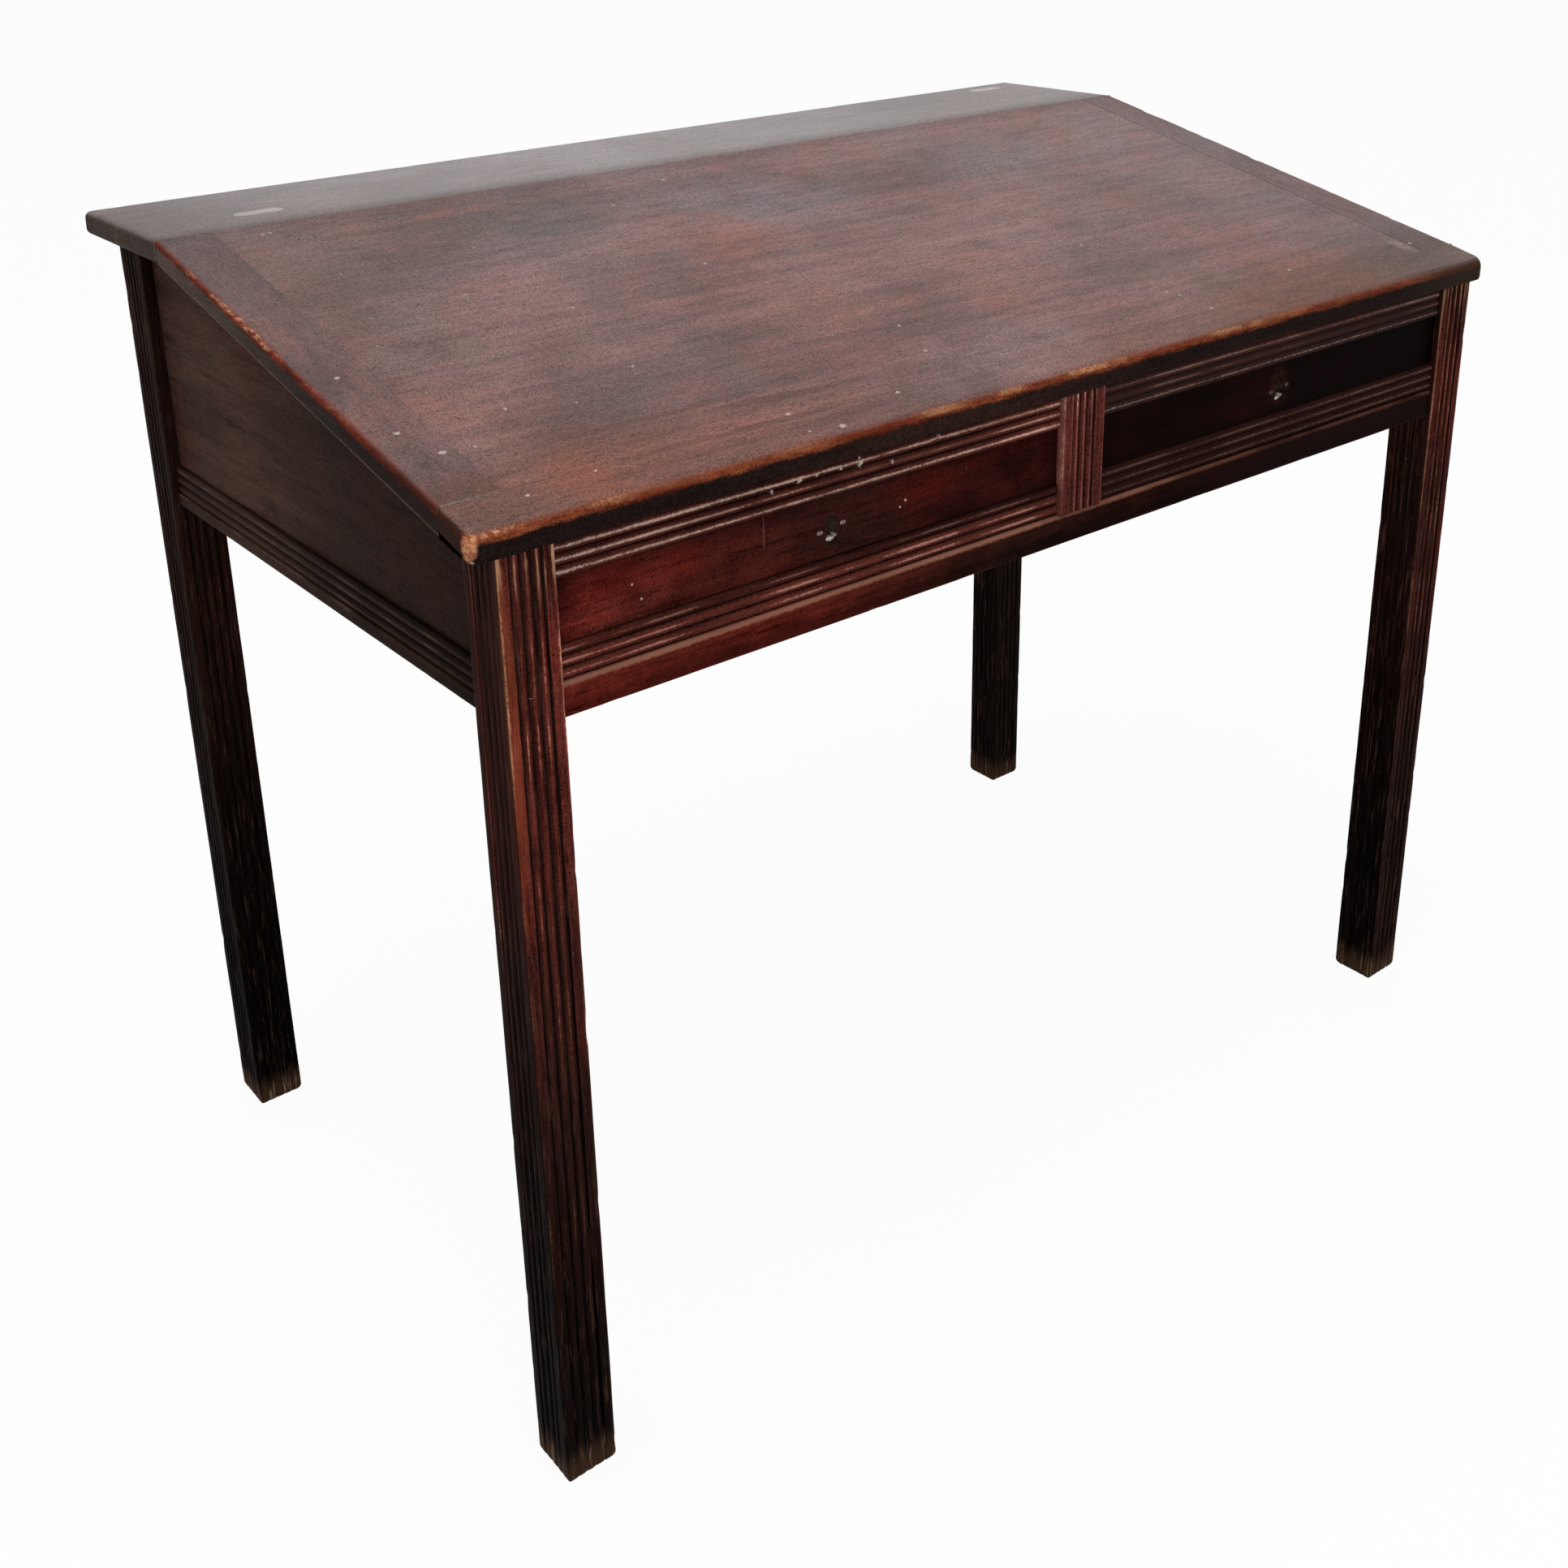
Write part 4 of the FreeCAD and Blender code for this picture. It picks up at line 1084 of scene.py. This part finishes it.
# %% Rails of the sides
for hand, side in zip(HANDS, (-1, 1)):
    node = f"side_rail_{hand}"
    strip_low, strip_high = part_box(f"side_reeded_strip_{hand}")
    low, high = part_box(node)
    inner, outer = (high.x, low.x) if side < 0 else (low.x, high.x)
    behind = strip_high.x if side < 0 else strip_low.x
    section = rounded([(inner, low.z, 0.001, 0.3, 0, 0), (outer, low.z, 0.0014, 0.8, 0, 0),
                       (outer, strip_low.z, 0.0012, 1.0, 0, 0), (behind, strip_low.z, 0.0004, 0.0, 0, 0),
                       (behind, high.z, 0.0004, 0.0, 0, 0), (inner, high.z, 0.001, 0.3, 0, 0)])
    lay(node, section, steps(strip_low.y, strip_high.y, 0.006), along_y, 0.0006, 0.04)

# %% [markdown]
# ## Drawer fronts
#
# A drawer front is one board with rebates for the strips, sockets for the dovetails and a
# keyhole. The CAD solid has all that, so a copy of its mesh is welded and its edges are eased by
# a bevel. The keyhole of the real desk has lost its plate: the wood is chipped below it and two
# nail pits are left beside it. These are cut with lumpy balls, by boolean.


# %% Welded copies of CAD nodes
def welded(node):
    mesh = bpy.data.meshes.new(node + "_eased")
    shell = bmesh.new()
    shell.from_mesh(frame["nodes"][node].data)
    bmesh.ops.remove_doubles(shell, verts=shell.verts, dist=0.000005)
    bmesh.ops.dissolve_limit(shell, angle_limit=math.radians(1), verts=shell.verts, edges=shell.edges)
    shell.to_mesh(mesh)
    shell.free()
    mesh.shade_flat()
    return bpy.data.objects.new(node + "_eased", mesh)


def ease(piece, width):
    """Rounds the sharp edges a little, so that they catch the light."""
    bevel = piece.modifiers.new("ease", "BEVEL")
    bevel.width = width
    bevel.segments = 2
    bevel.limit_method = "ANGLE"
    bevel.angle_limit = math.radians(40)
    return piece


def lump(name, centre, reach):
    """A lumpy ball to cut with."""
    mesh = bpy.data.meshes.new(name)
    ball = bmesh.new()
    bmesh.ops.create_icosphere(ball, subdivisions=3, radius=1)
    for v in ball.verts:
        swell = 1 + 0.16 * noise.noise(v.co * 2.3 + Vector(centre) * 90)
        v.co = Vector(centre) + Vector(c * r * swell for c, r in zip(v.co, reach))
    ball.to_mesh(mesh)
    ball.free()
    cutter = bpy.data.objects.new(name, mesh)
    scene.collection.objects.link(cutter)
    return cutter


# %% Cut the fronts
def cut(piece, cutters):
    """Takes the cutters out of the piece and removes them."""
    scene.collection.objects.link(piece)
    for cutter in cutters:
        knife = piece.modifiers.new("cut", "BOOLEAN")
        knife.object = cutter
        knife.operation = "DIFFERENCE"
        knife.solver = "EXACT"
    bpy.context.view_layer.update()
    shaped = bpy.data.meshes.new_from_object(piece.evaluated_get(bpy.context.evaluated_depsgraph_get()))
    piece.modifiers.clear()
    piece.data = shaped
    scene.collection.objects.unlink(piece)
    for cutter in cutters:
        bpy.data.objects.remove(cutter)


for hand, x in zip(HANDS, (-KEYHOLE_X, KEYHOLE_X)):
    node = f"drawer_{hand}_front"
    face_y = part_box(node)[0].y
    cutters = [lump("chip", (x, face_y, 0.6925), (0.0052, 0.0035, 0.0034))]
    for side in (-1, 1):
        nail = (x + side * NAIL_OUT, face_y, NAIL_Z + side * NAIL_TILT)
        cutters.append(lump("pit", nail, (0.0013, 0.0016, 0.0012)))
    front = welded(node)
    cut(front, cutters)
    fit(ease(front, 0.0004), node)
    print(front.name, len(front.data.polygons), "faces")

# %% [markdown]
# ## Plain boards and the locks
#
# The pieces that are out of sight when the drawers are shut are plain boards with sawn edges.
# Their CAD meshes have the right shape, so they are copied and eased in the same way. The iron
# lock, its bolt and its screws get a finer bevel. Panels whose edges are all hidden stay as
# they are and only take their finish.

# %% Ease the boards
eased_boards = ["back_rail", "front_top_rail"]
for kind in ("runner", "guide", "kicker"):
    eased_boards += [f"{kind}_{place}" for place in ("left", "right", "centre")]
for hand in HANDS:
    eased_boards += [f"drawer_{hand}_{board}" for board in ("inner_side", "outer_side", "back")]
eased = [(node, 0.0008) for node in eased_boards]
for hand in HANDS:
    for part, width in (("lock_case", 0.0007), ("lock_bolt", 0.0005), ("lock_screws", 0.0002)):
        eased.append((f"drawer_{hand}_{part}", width))
eased += [(f"patch_{hand}", 0.0006) for hand in HANDS]
for node, width in eased:
    fit(ease(welded(node), width), node)
print("eased copies:", len(eased))

# %% Finish the panels that stay
kept = [node for node, piece in frame["nodes"].items() if not piece.hide_render]
for node in kept:
    for slot in frame["nodes"][node].material_slots:
        slot.material = finishes[slot_of[node]]
print("CAD nodes that stay:", kept)
